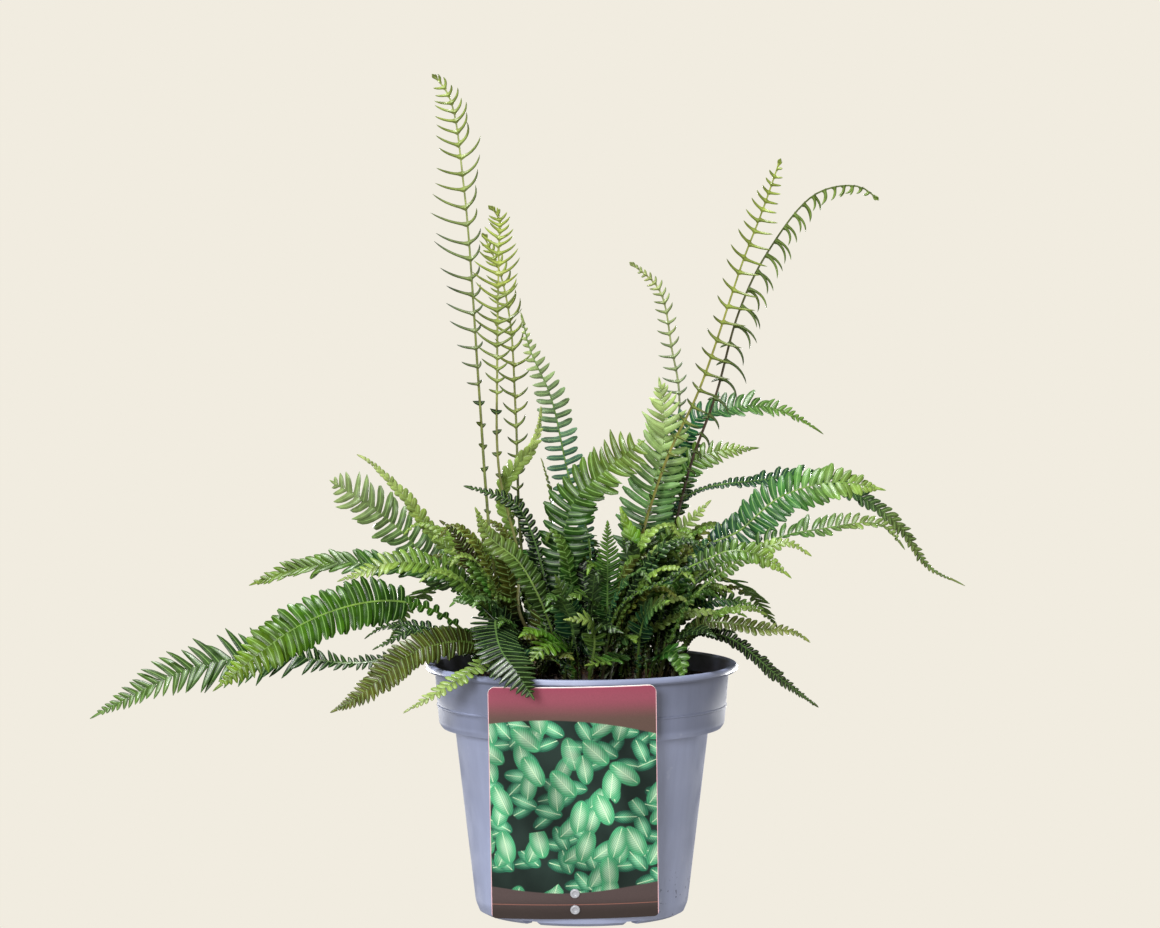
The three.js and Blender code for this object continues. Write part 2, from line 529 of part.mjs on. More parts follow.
// Lay the rib through a list of shares; the returned stations carry their edge points
function layRib(sheet, rib, shares) {
  const foot = edgePoints(sheet, rib.footFrame(), rib.halfWide(0), rib.halfThick(0));
  const stations = [{ share: 0, edge: foot }];
  for (const share of shares) {
    const edge = edgePoints(sheet, rib.at(share), rib.halfWide(share), rib.halfThick(share));
    stations.push({ share, edge });
  }
  for (let k = 1; k < stations.length; k += 1) {
    const [low, high] = [stations[k - 1].edge, stations[k].edge];
    sheet.fan(low.left, low.right, high.right, high.left);
  }
  return stations.slice(1);
}

// One leaflet on one side of the rib: blunt with two outer corners, or pointed with one
function leaflet(sheet, rib, low, high, hand, form) {
  const middle = rib.at((low.share + high.share) / 2);
  const { side, tangent, normal } = middle;
  const lift = form.lift * RAD;
  const sweep = form.sweep * RAD;
  const along = side.clone().multiplyScalar(hand * Math.cos(sweep) * Math.cos(lift))
    .addScaledVector(tangent, Math.sin(sweep)).addScaledVector(normal, Math.sin(lift)).normalize();
  const face = normal.clone().multiplyScalar(Math.cos(lift)).addScaledVector(side, -hand * Math.sin(lift));
  const pitch = form.pitch;
  const at = (reach, shift) => middle.place.clone().addScaledVector(along, reach)
    .addScaledVector(tangent, shift);
  const root = hand > 0 ? [low.edge.right, high.edge.right] : [low.edge.left, high.edge.left];
  const outer = form.pointed
    ? [sheet.point(at(form.reach, 0), face, LEAFLET_HALF_THICK)]
    : [sheet.point(at(form.reach * 0.92, -pitch * 0.24), face, LEAFLET_HALF_THICK),
      sheet.point(at(form.reach, pitch * 0.2), face, LEAFLET_HALF_THICK)];
  const round = [root[0], ...outer, root[1]];
  sheet.fan(...(hand > 0 ? round : round.reverse()));
}

// Width of a leafy frond along its blade: small lobes at the foot, widest past the middle, a drawn-out tip
function bladeWidth(t, narrow) {
  const rise = 0.26 + 0.74 * THREE.MathUtils.smoothstep(t, narrow, narrow + 0.28);
  const fall = 1 - THREE.MathUtils.smoothstep(t, 0.6, 1.05);
  return rise * fall ** 0.6;
}

function leafyFrond(spec) {
  const sheet = new Sheet();
  const rib = new Rib(spec);
  const stalkSteps = Math.max(2, Math.round(spec.bare * 9));
  const shares = [];
  for (let k = 0; k < stalkSteps; k += 1) shares.push(spec.bare * k / stalkSteps);
  const step = (BLADE_END - spec.bare) / spec.pairs;
  for (let k = 0; k <= spec.pairs; k += 1) shares.push(spec.bare + k * step);
  const stations = layRib(sheet, rib, shares).slice(stalkSteps);
  const pitch = rib.length() * step;
  for (let k = 0; k < spec.pairs; k += 1) {
    const t = (k + 0.5) / spec.pairs;
    const reach = spec.half * bladeWidth(t, spec.narrow ?? 0);
    const form = { reach, pitch, lift: spec.lift, sweep: 8 + 26 * t, pointed: t > 0.6 };
    leaflet(sheet, rib, stations[k], stations[k + 1], 1, form);
    leaflet(sheet, rib, stations[k], stations[k + 1], -1, form);
  }
  addTip(sheet, rib, stations[spec.pairs]);
  return sheet.geometry();
}

function addTip(sheet, rib, last) {
  const end = rib.at(1);
  const tip = sheet.point(end.place, end.normal, LEAFLET_HALF_THICK);
  sheet.fan(last.edge.left, last.edge.right, tip);
}

// Narrow leaflets, each on a short root, with bare rib between
function fertileFrond(spec) {
  const sheet = new Sheet();
  const rib = new Rib(spec);
  const step = (BLADE_END - spec.bare) / spec.pairs;
  const pitch = rib.length() * step;
  const rootShare = FERTILE_ROOT / rib.length();
  const shares = [];
  for (let k = 0; k < FERTILE_STALK_STEPS; k += 1) shares.push(spec.bare * k / FERTILE_STALK_STEPS);
  for (let k = 0; k < spec.pairs; k += 1) {
    const low = spec.bare + k * step;
    shares.push(low, low + rootShare);
  }
  const stations = layRib(sheet, rib, shares).slice(FERTILE_STALK_STEPS);
  for (let k = 0; k < spec.pairs; k += 1) {
    const t = (k + 0.5) / spec.pairs;
    const swell = Math.min(1, 0.3 + (spec.ramp ?? 2) * t) * (1 - 0.75 * t ** 4);
    const sweep = (spec.sweep ?? 16) + 20 * t;
    const form = { reach: spec.half * swell, pitch, lift: FERTILE_LIFT, sweep, pointed: true };
    leaflet(sheet, rib, stations[2 * k], stations[2 * k + 1], 1, form);
    if (t < (spec.hang ?? 1)) leaflet(sheet, rib, stations[2 * k], stations[2 * k + 1], -1, form);
  }
  addTip(sheet, rib, stations[stations.length - 1]);
  return sheet.geometry();
}

// The plain hole that a frond's foot stands in, a little wider than the stalk
function seatHole(spec) {
  const sheet = new Sheet();
  const rib = new Rib(spec);
  const low = rib.footFrame();
  const reach = rib.neck.clone().sub(rib.foot);
  const high = { ...low, place: rib.foot.clone().addScaledVector(reach, 1.5) };
  low.place = rib.foot.clone().addScaledVector(low.tangent, -GAP);
  const wide = STALK_HALF_WIDE + SEAT_GAP;
  const thick = RIB_HALF_THICK + SEAT_GAP;
  const ends = [edgePoints(sheet, low, wide, thick), edgePoints(sheet, high, wide, thick)];
  sheet.fan(ends[0].left, ends[0].right, ends[1].right, ends[1].left);
  return solid(sheet.geometry());
}

// A crown: a low dome of old stalk bases with pointed scales sunk into it
function crownGeometry([cx, cy], order) {
  const low = SOIL_TOP - CROWN_DEEP;
  const top = SOIL_TOP + CROWN_RISE;
  const dome = [[0, low], [CROWN_R - 1, low], [CROWN_R, SOIL_TOP + 1], [CROWN_R * 0.7, top - 1.6],
    [0, top]];
  let crown = solid(turned(dome, 8));
  for (let k = 0; k < CROWN_SCALES; k += 1) {
    const turn = (k * 360 / CROWN_SCALES + order * 23) * RAD;
    const scale = new THREE.ConeGeometry(CROWN_SCALE.r, CROWN_SCALE.tall, 4).rotateX(90 * RAD);
    scale.rotateY(CROWN_SCALE.lean * RAD);
    scale.translate(CROWN_R * (k % 2 ? 0.45 : 0.62), 0, top - 1).rotateZ(turn);
    crown = crown.add(solid(scale));
  }
  return surface(crown.translate([cx, cy, 0]));
}

function crownHole([cx, cy]) {
  const r = CROWN_R + SEAT_GAP;
  const tall = 20;
  const hole = new THREE.CylinderGeometry(r, r, tall, 10).rotateX(90 * RAD);
  return solid(hole.translate(cx, cy, SOIL_TOP - CROWN_DEEP - GAP + tall / 2));
}

function build() {
  const group = new THREE.Group();

  let pot = potSolid();
  for (const up of RIVET_UP) pot = pot.subtract(solid(rivetBore(up, RIVET_SHANK_R + GAP, 12)));
  group.add(piece('pot', surface(pot), 0x7c8198, 0.45));

  let soil = soilSolid();
  for (const centre of CROWNS) soil = soil.subtract(crownHole(centre));
  for (const spec of [...LEAFY, ...FERTILE]) soil = soil.subtract(seatHole(spec));
  group.add(piece('soil', surface(soil), 0x1d1815, 0.95));

  group.add(piece('label', labelGeometry(), 0x6f9a78, 0.35));
  RIVET_UP.forEach((up, k) => {
    group.add(piece(`rivet_${k + 1}`, rivetGeometry(up), 0xb9bcc4, 0.4));
  });
  CROWNS.forEach((centre, k) => {
    group.add(piece(`crown_${k + 1}`, crownGeometry(centre, k), 0x4a3322, 0.85));
  });
  for (const spec of LEAFY) group.add(piece(spec.name, leafyFrond(spec), TONES[spec.tone], 0.5));
  for (const spec of FERTILE) group.add(piece(spec.name, fertileFrond(spec), TONES[spec.tone], 0.5));
  return group;
}

export default build();
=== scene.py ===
"""Looks of a deer fern in a nursery pot, with a leaning plant label.

The pieces are modelled in millimetres in the frame of the CAD model: +Z up, -Y to the front, and the
origin at the centre of the pot's foot. Each finished piece is scaled to metres.
"""

import json
import logging
import math
import random
from bisect import bisect_right
from collections.abc import Callable, Iterable, Sequence
from dataclasses import dataclass, field
from enum import Enum

import bmesh
import bpy
from mathutils import Matrix, Vector, noise

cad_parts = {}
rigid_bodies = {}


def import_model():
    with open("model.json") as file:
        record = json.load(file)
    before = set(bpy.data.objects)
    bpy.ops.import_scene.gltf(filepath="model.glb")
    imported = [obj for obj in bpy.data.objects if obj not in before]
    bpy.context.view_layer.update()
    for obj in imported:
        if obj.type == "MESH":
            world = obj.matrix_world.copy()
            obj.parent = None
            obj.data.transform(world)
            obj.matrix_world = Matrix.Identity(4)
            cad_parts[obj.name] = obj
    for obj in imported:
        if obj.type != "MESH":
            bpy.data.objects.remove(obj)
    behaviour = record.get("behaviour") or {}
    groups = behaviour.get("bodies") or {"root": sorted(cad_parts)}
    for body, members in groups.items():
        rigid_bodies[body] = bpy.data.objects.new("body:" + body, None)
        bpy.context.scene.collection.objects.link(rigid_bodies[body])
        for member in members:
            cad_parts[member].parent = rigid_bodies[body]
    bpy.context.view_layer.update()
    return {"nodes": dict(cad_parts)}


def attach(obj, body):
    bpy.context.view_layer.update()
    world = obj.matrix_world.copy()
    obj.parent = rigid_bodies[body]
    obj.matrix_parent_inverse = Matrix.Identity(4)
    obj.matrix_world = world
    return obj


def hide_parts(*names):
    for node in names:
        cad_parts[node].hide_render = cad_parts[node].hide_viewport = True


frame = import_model()

MM = 0.001
LOG = logging.getLogger("fern")

Pair = tuple[float, float]
Triple = tuple[float, float, float]
Colour = tuple[float, float, float, float]
Corner = bmesh.types.BMVert
Material = bpy.types.Material
Piece = bpy.types.Object
Socket = bpy.types.NodeSocket

# Soil and crowns, as in the CAD model
SOIL_TOP = 130.0
SOIL_EDGE_DROP = 2.0
CROWNS = ((-30, -10), (-17, 24), (3, -22), (33, -9), (20, 26))
SEAT_DEPTH = 15.0
NECK_RISE = 4.0
NECK_OUT = 2.0

# The plant is laid out as seen from the front, by an eye this far off and this high
EYE_BACK = 3500.0
EYE_HIGH = 538.0

# How far below the neck a rib is drawn, and the share of the rib at which it ends
RIB_SUNK = 8.0
RIB_END = 0.995

# Shares of the rib at which a blade ends and past which a frond gets no more pairs of leaflets
BLADE_END = 0.97
LEAFY_STOP = 0.972
FERTILE_STOP = 0.985

# The turn from one scale of a crown to the next, in degrees
GOLDEN_TURN = 137.5


def linear(red: float, green: float, blue: float) -> Colour:
    """Turn a display colour into the linear colour that shaders take.

    Args:
        red: Red, 0 to 255.
        green: Green, 0 to 255.
        blue: Blue, 0 to 255.

    Returns:
        The linear colour, opaque.
    """
    def channel(value: float) -> float:
        """Undo the display curve of one channel."""
        share = value / 255
        return share / 12.92 if share <= 0.04045 else ((share + 0.055) / 1.055) ** 2.4

    return (channel(red), channel(green), channel(blue), 1.0)


def blend(low: Sequence[float], high: Sequence[float], share: float) -> Colour:
    """Mix two colours, with the share of the second."""
    return tuple(a + (b - a) * share for a, b in zip(low, high))


def smooth_step(value: float, low: float, high: float) -> float:
    """Ease from 0 at low to 1 at high."""
    share = min(1.0, max(0.0, (value - low) / (high - low)))
    return share * share * (3 - 2 * share)


class Tone(Enum):
    """Leaf greens. The value is the record's slot."""

    FRESH = "leaf_fresh"
    DEEP = "leaf_deep"
    MID = "leaf_mid"
    LIGHT = "leaf_light"
    OLIVE = "leaf_olive"
    DARK = "leaf_dark"
    BROWN = "leaf_brown"
    BLUE = "leaf_blue"
    PALE = "leaf_pale"


@dataclass(frozen=True)
class Greens:
    """The colours of one leaf tone: near the frond's foot, at its middle and at its tip."""

    foot: Colour
    middle: Colour
    tip: Colour

    @classmethod
    def of(cls, *shown: Triple) -> "Greens":
        """Make the colours from the display colours of foot, middle and tip."""
        return cls(*(linear(*colour) for colour in shown))

    def at(self, share: float) -> Colour:
        """Give the leaf colour at a place of the blade.

        Args:
            share: The place, as a share of the blade's length.

        Returns:
            The colour.
        """
        if share < 0.5:
            return blend(self.foot, self.middle, share * 2)
        return blend(self.middle, self.tip, share * 2 - 1)


# Each tone is darker at the frond's foot: partly the leaf's own colour, partly painted shade deep in the
# plant near the soil.
GREENS = {
    Tone.FRESH: Greens.of((30, 72, 20), (86, 154, 22), (156, 196, 62)),
    Tone.DEEP: Greens.of((20, 48, 26), (50, 104, 34), (104, 148, 52)),
    Tone.MID: Greens.of((28, 62, 30), (68, 122, 38), (146, 178, 70)),
    Tone.LIGHT: Greens.of((60, 98, 38), (124, 166, 62), (182, 206, 104)),
    Tone.OLIVE: Greens.of((52, 60, 24), (102, 112, 36), (132, 136, 54)),
    Tone.DARK: Greens.of((16, 34, 20), (34, 64, 34), (64, 90, 42)),
    Tone.BROWN: Greens.of((40, 34, 22), (72, 64, 36), (90, 90, 48)),
    Tone.BLUE: Greens.of((16, 52, 34), (48, 112, 70), (140, 180, 78)),
    Tone.PALE: Greens.of((92, 124, 50), (152, 184, 86), (192, 210, 124)),
}
BARK = linear(40, 26, 20)
STALK_FOOT = linear(54, 36, 26)
STALK_GREEN = linear(96, 128, 52)
MIDRIB_GREEN = linear(124, 168, 92)
UNDERSIDE = linear(112, 146, 92)


class Workpiece:
    """A mesh in millimetres on its way to a finished piece, with a tint on its corners and a leaf map."""

    def __init__(self) -> None:
        """Start an empty mesh with its two layers."""
        self.bm = bmesh.new()
        self.tint = self.bm.verts.layers.float_color.new("tint")
        self.map = self.bm.loops.layers.uv.new("leaf_map")

    def added(self, start: int) -> list[Corner]:
        """List the corners added since the mesh had this many."""
        self.bm.verts.ensure_lookup_table()
        return self.bm.verts[start:]

    def paint(self, verts: Iterable[Corner], colour: Colour) -> None:
        """Give corners one tint."""
        for vert in verts:
            vert[self.tint] = colour

    def tube(self, steps: int, sides: int, place: Callable[[float, float], Vector],
             colour: Callable[[float], Colour]) -> None:
        """Roll a grid into a closed tube with capped ends.

        Args:
            steps: Faces along the tube.
            sides: Faces round it.
            place: Gives the point at a share of the length and a share of the turn.
            colour: Gives the tint at a share of the length.
        """
        start = len(self.bm.verts)
        bmesh.ops.create_grid(self.bm, x_segments=steps, y_segments=sides, size=0.5)
        skin = self.added(start)
        for vert in skin:
            along, turn = vert.co.x + 0.5, vert.co.y + 0.5
            vert[self.tint] = colour(along)
            vert.co = place(along, turn)
        bmesh.ops.remove_doubles(self.bm, verts=skin, dist=1e-3)
        ends = [edge for edge in self.bm.edges if edge.is_boundary]
        caps = bmesh.ops.holes_fill(self.bm, edges=ends, sides=0)["faces"]
        for face in {face for vert in skin if vert.is_valid for face in vert.link_faces} | set(caps):
            for loop in face.loops:
                loop[self.map].uv = (0.5, 0.25)
        self.settle()

    def settle(self) -> None:
        """Store the mesh afresh, so that corners added later come last."""
        stored = bpy.data.meshes.new("stored")
        self.bm.to_mesh(stored)
        self.bm.clear()
        self.bm.from_mesh(stored)
        bpy.data.meshes.remove(stored)
        self.tint = self.bm.verts.layers.float_color["tint"]
        self.map = self.bm.loops.layers.uv["leaf_map"]

    def ring_edges(self, radius: float, height: float) -> list[bmesh.types.BMEdge]:
        """Find the edges of one ring of a turned shape.

        Args:
            radius: The ring's radius.
            height: The ring's height.

        Returns:
            The ring's edges.
        """
        def on_ring(vert: Corner) -> bool:
            """Tell whether a corner lies on the ring."""
            return abs(vert.co.xy.length - radius) < 0.01 and abs(vert.co.z - height) < 0.01

        return [edge for edge in self.bm.edges if on_ring(edge.verts[0]) and on_ring(edge.verts[1])]

    def turn(self, profile: Sequence[Pair], steps: int, rounds: Sequence[Triple] = ()) -> None:
        """Spin a profile round the Z axis and round some of its rings.

        Args:
            profile: Radius and height of each corner, from one pole to the other.
            steps: Faces round the shape.
            rounds: Radius, height and size of each ring to round.
        """
        corners = [self.bm.verts.new((radius, 0, height)) for radius, height in profile]
        edges = [self.bm.edges.new(pair) for pair in zip(corners, corners[1:])]
        bmesh.ops.spin(self.bm, geom=corners + edges, cent=(0, 0, 0), axis=(0, 0, 1), dvec=(0, 0, 0),
                       angle=math.tau, steps=steps, use_merge=True, use_duplicate=False)
        bmesh.ops.remove_doubles(self.bm, verts=self.bm.verts[:], dist=1e-3)
        for radius, height, size in rounds:
            bmesh.ops.bevel(self.bm, geom=self.ring_edges(radius, height), offset=size,
                            offset_type="OFFSET", segments=3, profile=0.5, affect="EDGES", material=-1,
                            clamp_overlap=True)
        self.settle()

    def finish(self, name: str, slot: str, materials: Sequence[Material],
               nodes: Sequence[str] = (), sharp: float = 50.0) -> Piece:
        """Turn the mesh into a finished piece that rides on the plant.

        Args:
            name: The piece's name.
            slot: The record's material slot; not used.
            materials: The piece's materials, in the order of its material numbers.
            nodes: The CAD nodes that it replaces.
            sharp: Edges bent by more degrees than this stay sharp.

        Returns:
            The finished object, at the origin.
        """
        bmesh.ops.recalc_face_normals(self.bm, faces=self.bm.faces[:])
        bmesh.ops.scale(self.bm, vec=(MM, MM, MM), verts=self.bm.verts[:])
        for face in self.bm.faces:
            face.smooth = True
        for edge in self.bm.edges:
            if edge.is_manifold and edge.calc_face_angle(0) > math.radians(sharp):
                edge.smooth = False
        mesh = bpy.data.meshes.new(name)
        self.bm.to_mesh(mesh)
        self.bm.free()
        for material in materials:
            mesh.materials.append(material)
        piece = bpy.data.objects.new(name, mesh)
        bpy.context.scene.collection.objects.link(piece)
        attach(piece, "root")
        if nodes:
            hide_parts(*nodes)
        LOG.info("%s: %d faces", name, len(mesh.polygons))
        return piece


@dataclass(frozen=True)
class RibFrame:
    """One place on a rib: the point, the way it runs, its side and the way its blade faces."""

    place: Vector
    tangent: Vector
    side: Vector
    normal: Vector


@dataclass(frozen=True)
class LeafletPose:
    """How one leaflet stands on its rib. Angles are in degrees."""

    frame: RibFrame
    hand: int
    length: float
    half_wide: float
    sweep: float
    hook: float
    lift: float
    curl: float


class Cut(Enum):
    """Leaflet shapes: length share and half-width share of each outline point, from root to tip."""

    STRAP = ((0.0, 1.12), (0.10, 0.92), (0.30, 0.96), (0.62, 1.0), (0.80, 0.88), (0.93, 0.64), (1.0, 0.34))
    TAPER = ((0.0, 1.25), (0.12, 1.0), (0.35, 0.92), (0.65, 0.74), (0.85, 0.46), (1.0, 0.08))
    ROUND = ((0.0, 0.55), (0.15, 0.80), (0.45, 1.0), (0.75, 0.92), (0.92, 0.60), (1.0, 0.28))
    LOBE = ((0.0, 1.35), (0.20, 1.1), (0.5, 0.85), (0.8, 0.50), (1.0, 0.12))
    NARROW = ((0.0, 2.1), (0.08, 1.35), (0.2, 1.0), (0.6, 0.8), (0.85, 0.5), (1.0, 0.08))
    TILE = ((0.0, 0.95), (0.2, 1.0), (0.7, 1.03), (0.9, 0.92), (0.97, 0.7), (1.0, 0.35))
    SCALE = ((0.0, 0.8), (0.25, 1.0), (0.6, 0.6), (1.0, 0.05))


@dataclass
class Mould:
    """A flat closed leaflet, cast again for each leaflet of one cut.

    The thickness, pillow and groove are in millimetres or as shares of the half width.
    """

    cut: Cut
    rows: int = 7
    columns: int = 4
    thick: float = 0.42
    pillow: float = 0.32
    groove: float = 0.24
    mesh: bpy.types.Mesh = field(init=False)
    corners: list[Triple] = field(init=False)

    def __post_init__(self) -> None:
        """Make the flat leaflet: 0 to 1 along, -1 to 1 across and 0 to 1 from lower to upper face."""
        bm = bmesh.new()
        leaf_map = bm.loops.layers.uv.new("leaf_map")
        bmesh.ops.create_grid(bm, x_segments=self.rows, y_segments=self.columns, size=0.5)
        bmesh.ops.solidify(bm, geom=bm.faces[:], thickness=1.0)
        low = min(vert.co.z for vert in bm.verts)
        bmesh.ops.translate(bm, verts=bm.verts[:], vec=(0.5, 0, -low))
        for face in bm.faces:
            for loop in face.loops:
                loop[leaf_map].uv = (loop.vert.co.x, loop.vert.co.y + 0.5)
        self.mesh = bpy.data.meshes.new("mould")
        bm.to_mesh(self.mesh)
        self.corners = [(vert.co.x, vert.co.y * 2, vert.co.z) for vert in bm.verts]
        bm.free()

    def half_width(self, share: float) -> float:
        """Give the outline's half width.

        Args:
            share: The place, as a share of the length.

        Returns:
            The half width, where the leaflet's own is 1.
        """
        points = self.cut.value
        for (low, narrow), (high, wide) in zip(points, points[1:]):
            if share <= high:
                return narrow + (wide - narrow) * (share - low) / (high - low)
        return points[-1][1]

    def cast(self, work: Workpiece, pose: LeafletPose, root: Colour, tip: Colour) -> None:
        """Add one leaflet to a workpiece.

        Args:
            work: The mesh that it joins.
            pose: Where and how the leaflet stands.
            root: Its tint at the rib.
            tip: Its tint at the tip.
        """
        start = len(work.bm.verts)
        work.bm.from_mesh(self.mesh)
        frame_at = pose.frame
        side = frame_at.side * pose.hand
        point = frame_at.place.copy()
        stations = []
        for row in range(self.rows + 1):
            share = row / self.rows
            turn = math.radians(pose.sweep + pose.hook * share)
            rise = math.radians(pose.lift + pose.curl * share)
            flat = side * math.cos(turn) + frame_at.tangent * math.sin(turn)
            across = frame_at.tangent * math.cos(turn) - side * math.sin(turn)
            up = frame_at.normal * math.cos(rise) - flat * math.sin(rise)
            way = flat * math.cos(rise) + frame_at.normal * math.sin(rise)
            if row:
                point = point + way * (pose.length / self.rows)
            stations.append((point, across, up, pose.half_wide * self.half_width(share)))
        thick = min(self.thick, 0.16 + 0.18 * pose.half_wide)
        for vert, (along, over, level) in zip(work.added(start), self.corners):
            centre, across, up, wide = stations[round(along * self.rows)]
            height = self.pillow * wide * (1 - over * over)
            if abs(over) < 0.01:
                height -= self.groove * wide
            height += (level - 0.5) * thick * (1 - 0.5 * abs(over))
            vert.co = centre + across * (over * wide) + up * height
            shade = blend(root, tip, along)
            vert[work.tint] = shade if level > 0.5 else blend(shade, UNDERSIDE, 0.35)


class Rib:
    """The rib of a frond, on the same curve as in the CAD model."""

    SAMPLES = 240
    STEPS = 40

    def __init__(self, crown: int, seat: float, ring: float, face: Triple, route: Sequence[Vector]) -> None:
        """Lay the curve from the foot in the soil to the tip.

        Args:
            crown: The crown's number.
            seat: The seat's angle round the crown, in degrees.
            ring: The radius of the ring of seats.
            face: The side that the blade faces.
            route: The places that it passes above the soil.
        """
        out = Vector((math.cos(math.radians(seat)), math.sin(math.radians(seat)), 0))
        centre = Vector((*CROWNS[crown], 0))
        foot = centre + out * ring + Vector((0, 0, SOIL_TOP - SEAT_DEPTH))
        neck = centre + out * (ring + NECK_OUT) + Vector((0, 0, SOIL_TOP + NECK_RISE))
        self.face = Vector(face)
        points = self.curve([foot, neck, *route])
        reach = [0.0]
        for low, high in zip(points, points[1:]):
            reach.append(reach[-1] + (high - low).length)
        self.whole = reach[-1]
        self.start = (neck - foot).length / self.whole
        self.length = self.whole * (1 - self.start)
        self.points = []
        for k in range(self.SAMPLES + 1):
            goal = self.whole * k / self.SAMPLES
            place = min(max(bisect_right(reach, goal) - 1, 0), len(points) - 2)
            share = (goal - reach[place]) / (reach[place + 1] - reach[place])
            self.points.append(points[place].lerp(points[place + 1], share))

    @staticmethod
    def placed(point: Triple) -> Vector:
        """Give the place that the eye at the front sees at a point of a frond's path.

        Args:
            point: How far across, how high and how deep the point seems to lie.

        Returns:
            The place.
        """
        across, height, depth = point
        scale = (EYE_BACK + depth) / EYE_BACK
        return Vector((across * scale, depth, EYE_HIGH + (height - EYE_HIGH) * scale))

    @staticmethod
    def curve(knots: list[Vector]) -> list[Vector]:
        """Run a centripetal curve through the knots.

        Args:
            knots: The points that it passes.

        Returns:
            Points along it, as many for each stretch.
        """
        ends = [knots[0] * 2 - knots[1], *knots, knots[-1] * 2 - knots[-2]]
        points = [knots[0]]
        for before, low, high, after in zip(ends, ends[1:], ends[2:], ends[3:]):
            gaps = [math.sqrt((b - a).length) for a, b in ((before, low), (low, high), (high, after))]
            leave = ((low - before) / gaps[0] - (high - before) / (gaps[0] + gaps[1])
                     + (high - low) / gaps[1]) * gaps[1]
            reach = ((high - low) / gaps[1] - (after - low) / (gaps[1] + gaps[2])
                     + (after - high) / gaps[2]) * gaps[1]
            for k in range(1, Rib.STEPS + 1):
                s = k / Rib.STEPS
                points.append(low + leave * s + ((high - low) * 3 - leave * 2 - reach) * s * s
                              + ((low - high) * 2 + leave + reach) * s ** 3)
        return points

    def at(self, share: float) -> RibFrame:
        """Give the frame at a place of the rib.

        Args:
            share: The place, as a share of the way from the neck, at the soil, to the tip.

        Returns:
            The frame.
        """
        place = (self.start + (1 - self.start) * share) * self.SAMPLES
        low = min(max(int(place), 0), self.SAMPLES - 1)
        point = self.points[low].lerp(self.points[low + 1], place - low)
        back, ahead = self.points[max(low - 1, 0)], self.points[min(low + 2, self.SAMPLES)]
        tangent = (ahead - back).normalized()
        normal = (self.face - tangent * self.face.dot(tangent)).normalized()
        return RibFrame(point, tangent, tangent.cross(normal), normal)


@dataclass
class Moulds:
    """The moulds of all leaflet cuts."""

    strap: Mould = field(default_factory=lambda: Mould(Cut.STRAP, rows=5))
    taper: Mould = field(default_factory=lambda: Mould(Cut.TAPER, rows=5))
    round: Mould = field(default_factory=lambda: Mould(Cut.ROUND, rows=4))
    tile: Mould = field(default_factory=lambda: Mould(Cut.TILE, rows=5, pillow=0.2, groove=0.12))
    small: Mould = field(default_factory=lambda: Mould(Cut.STRAP, rows=4, columns=2, groove=0.0))
    lobe: Mould = field(default_factory=lambda: Mould(Cut.LOBE, rows=3, columns=2))
    narrow: Mould = field(default_factory=lambda: Mould(Cut.NARROW, rows=7, columns=2, thick=0.8, pillow=0.5,
                                                        groove=0.0))
    scale: Mould = field(default_factory=lambda: Mould(Cut.SCALE, rows=3, columns=2, thick=0.25, groove=0.0))


@dataclass
class Growth:
    """A frond in the making: its mesh, its rib, the leaflet moulds and its own random draws."""

    work: Workpiece
    rib: Rib
    moulds: Moulds
    rng: random.Random


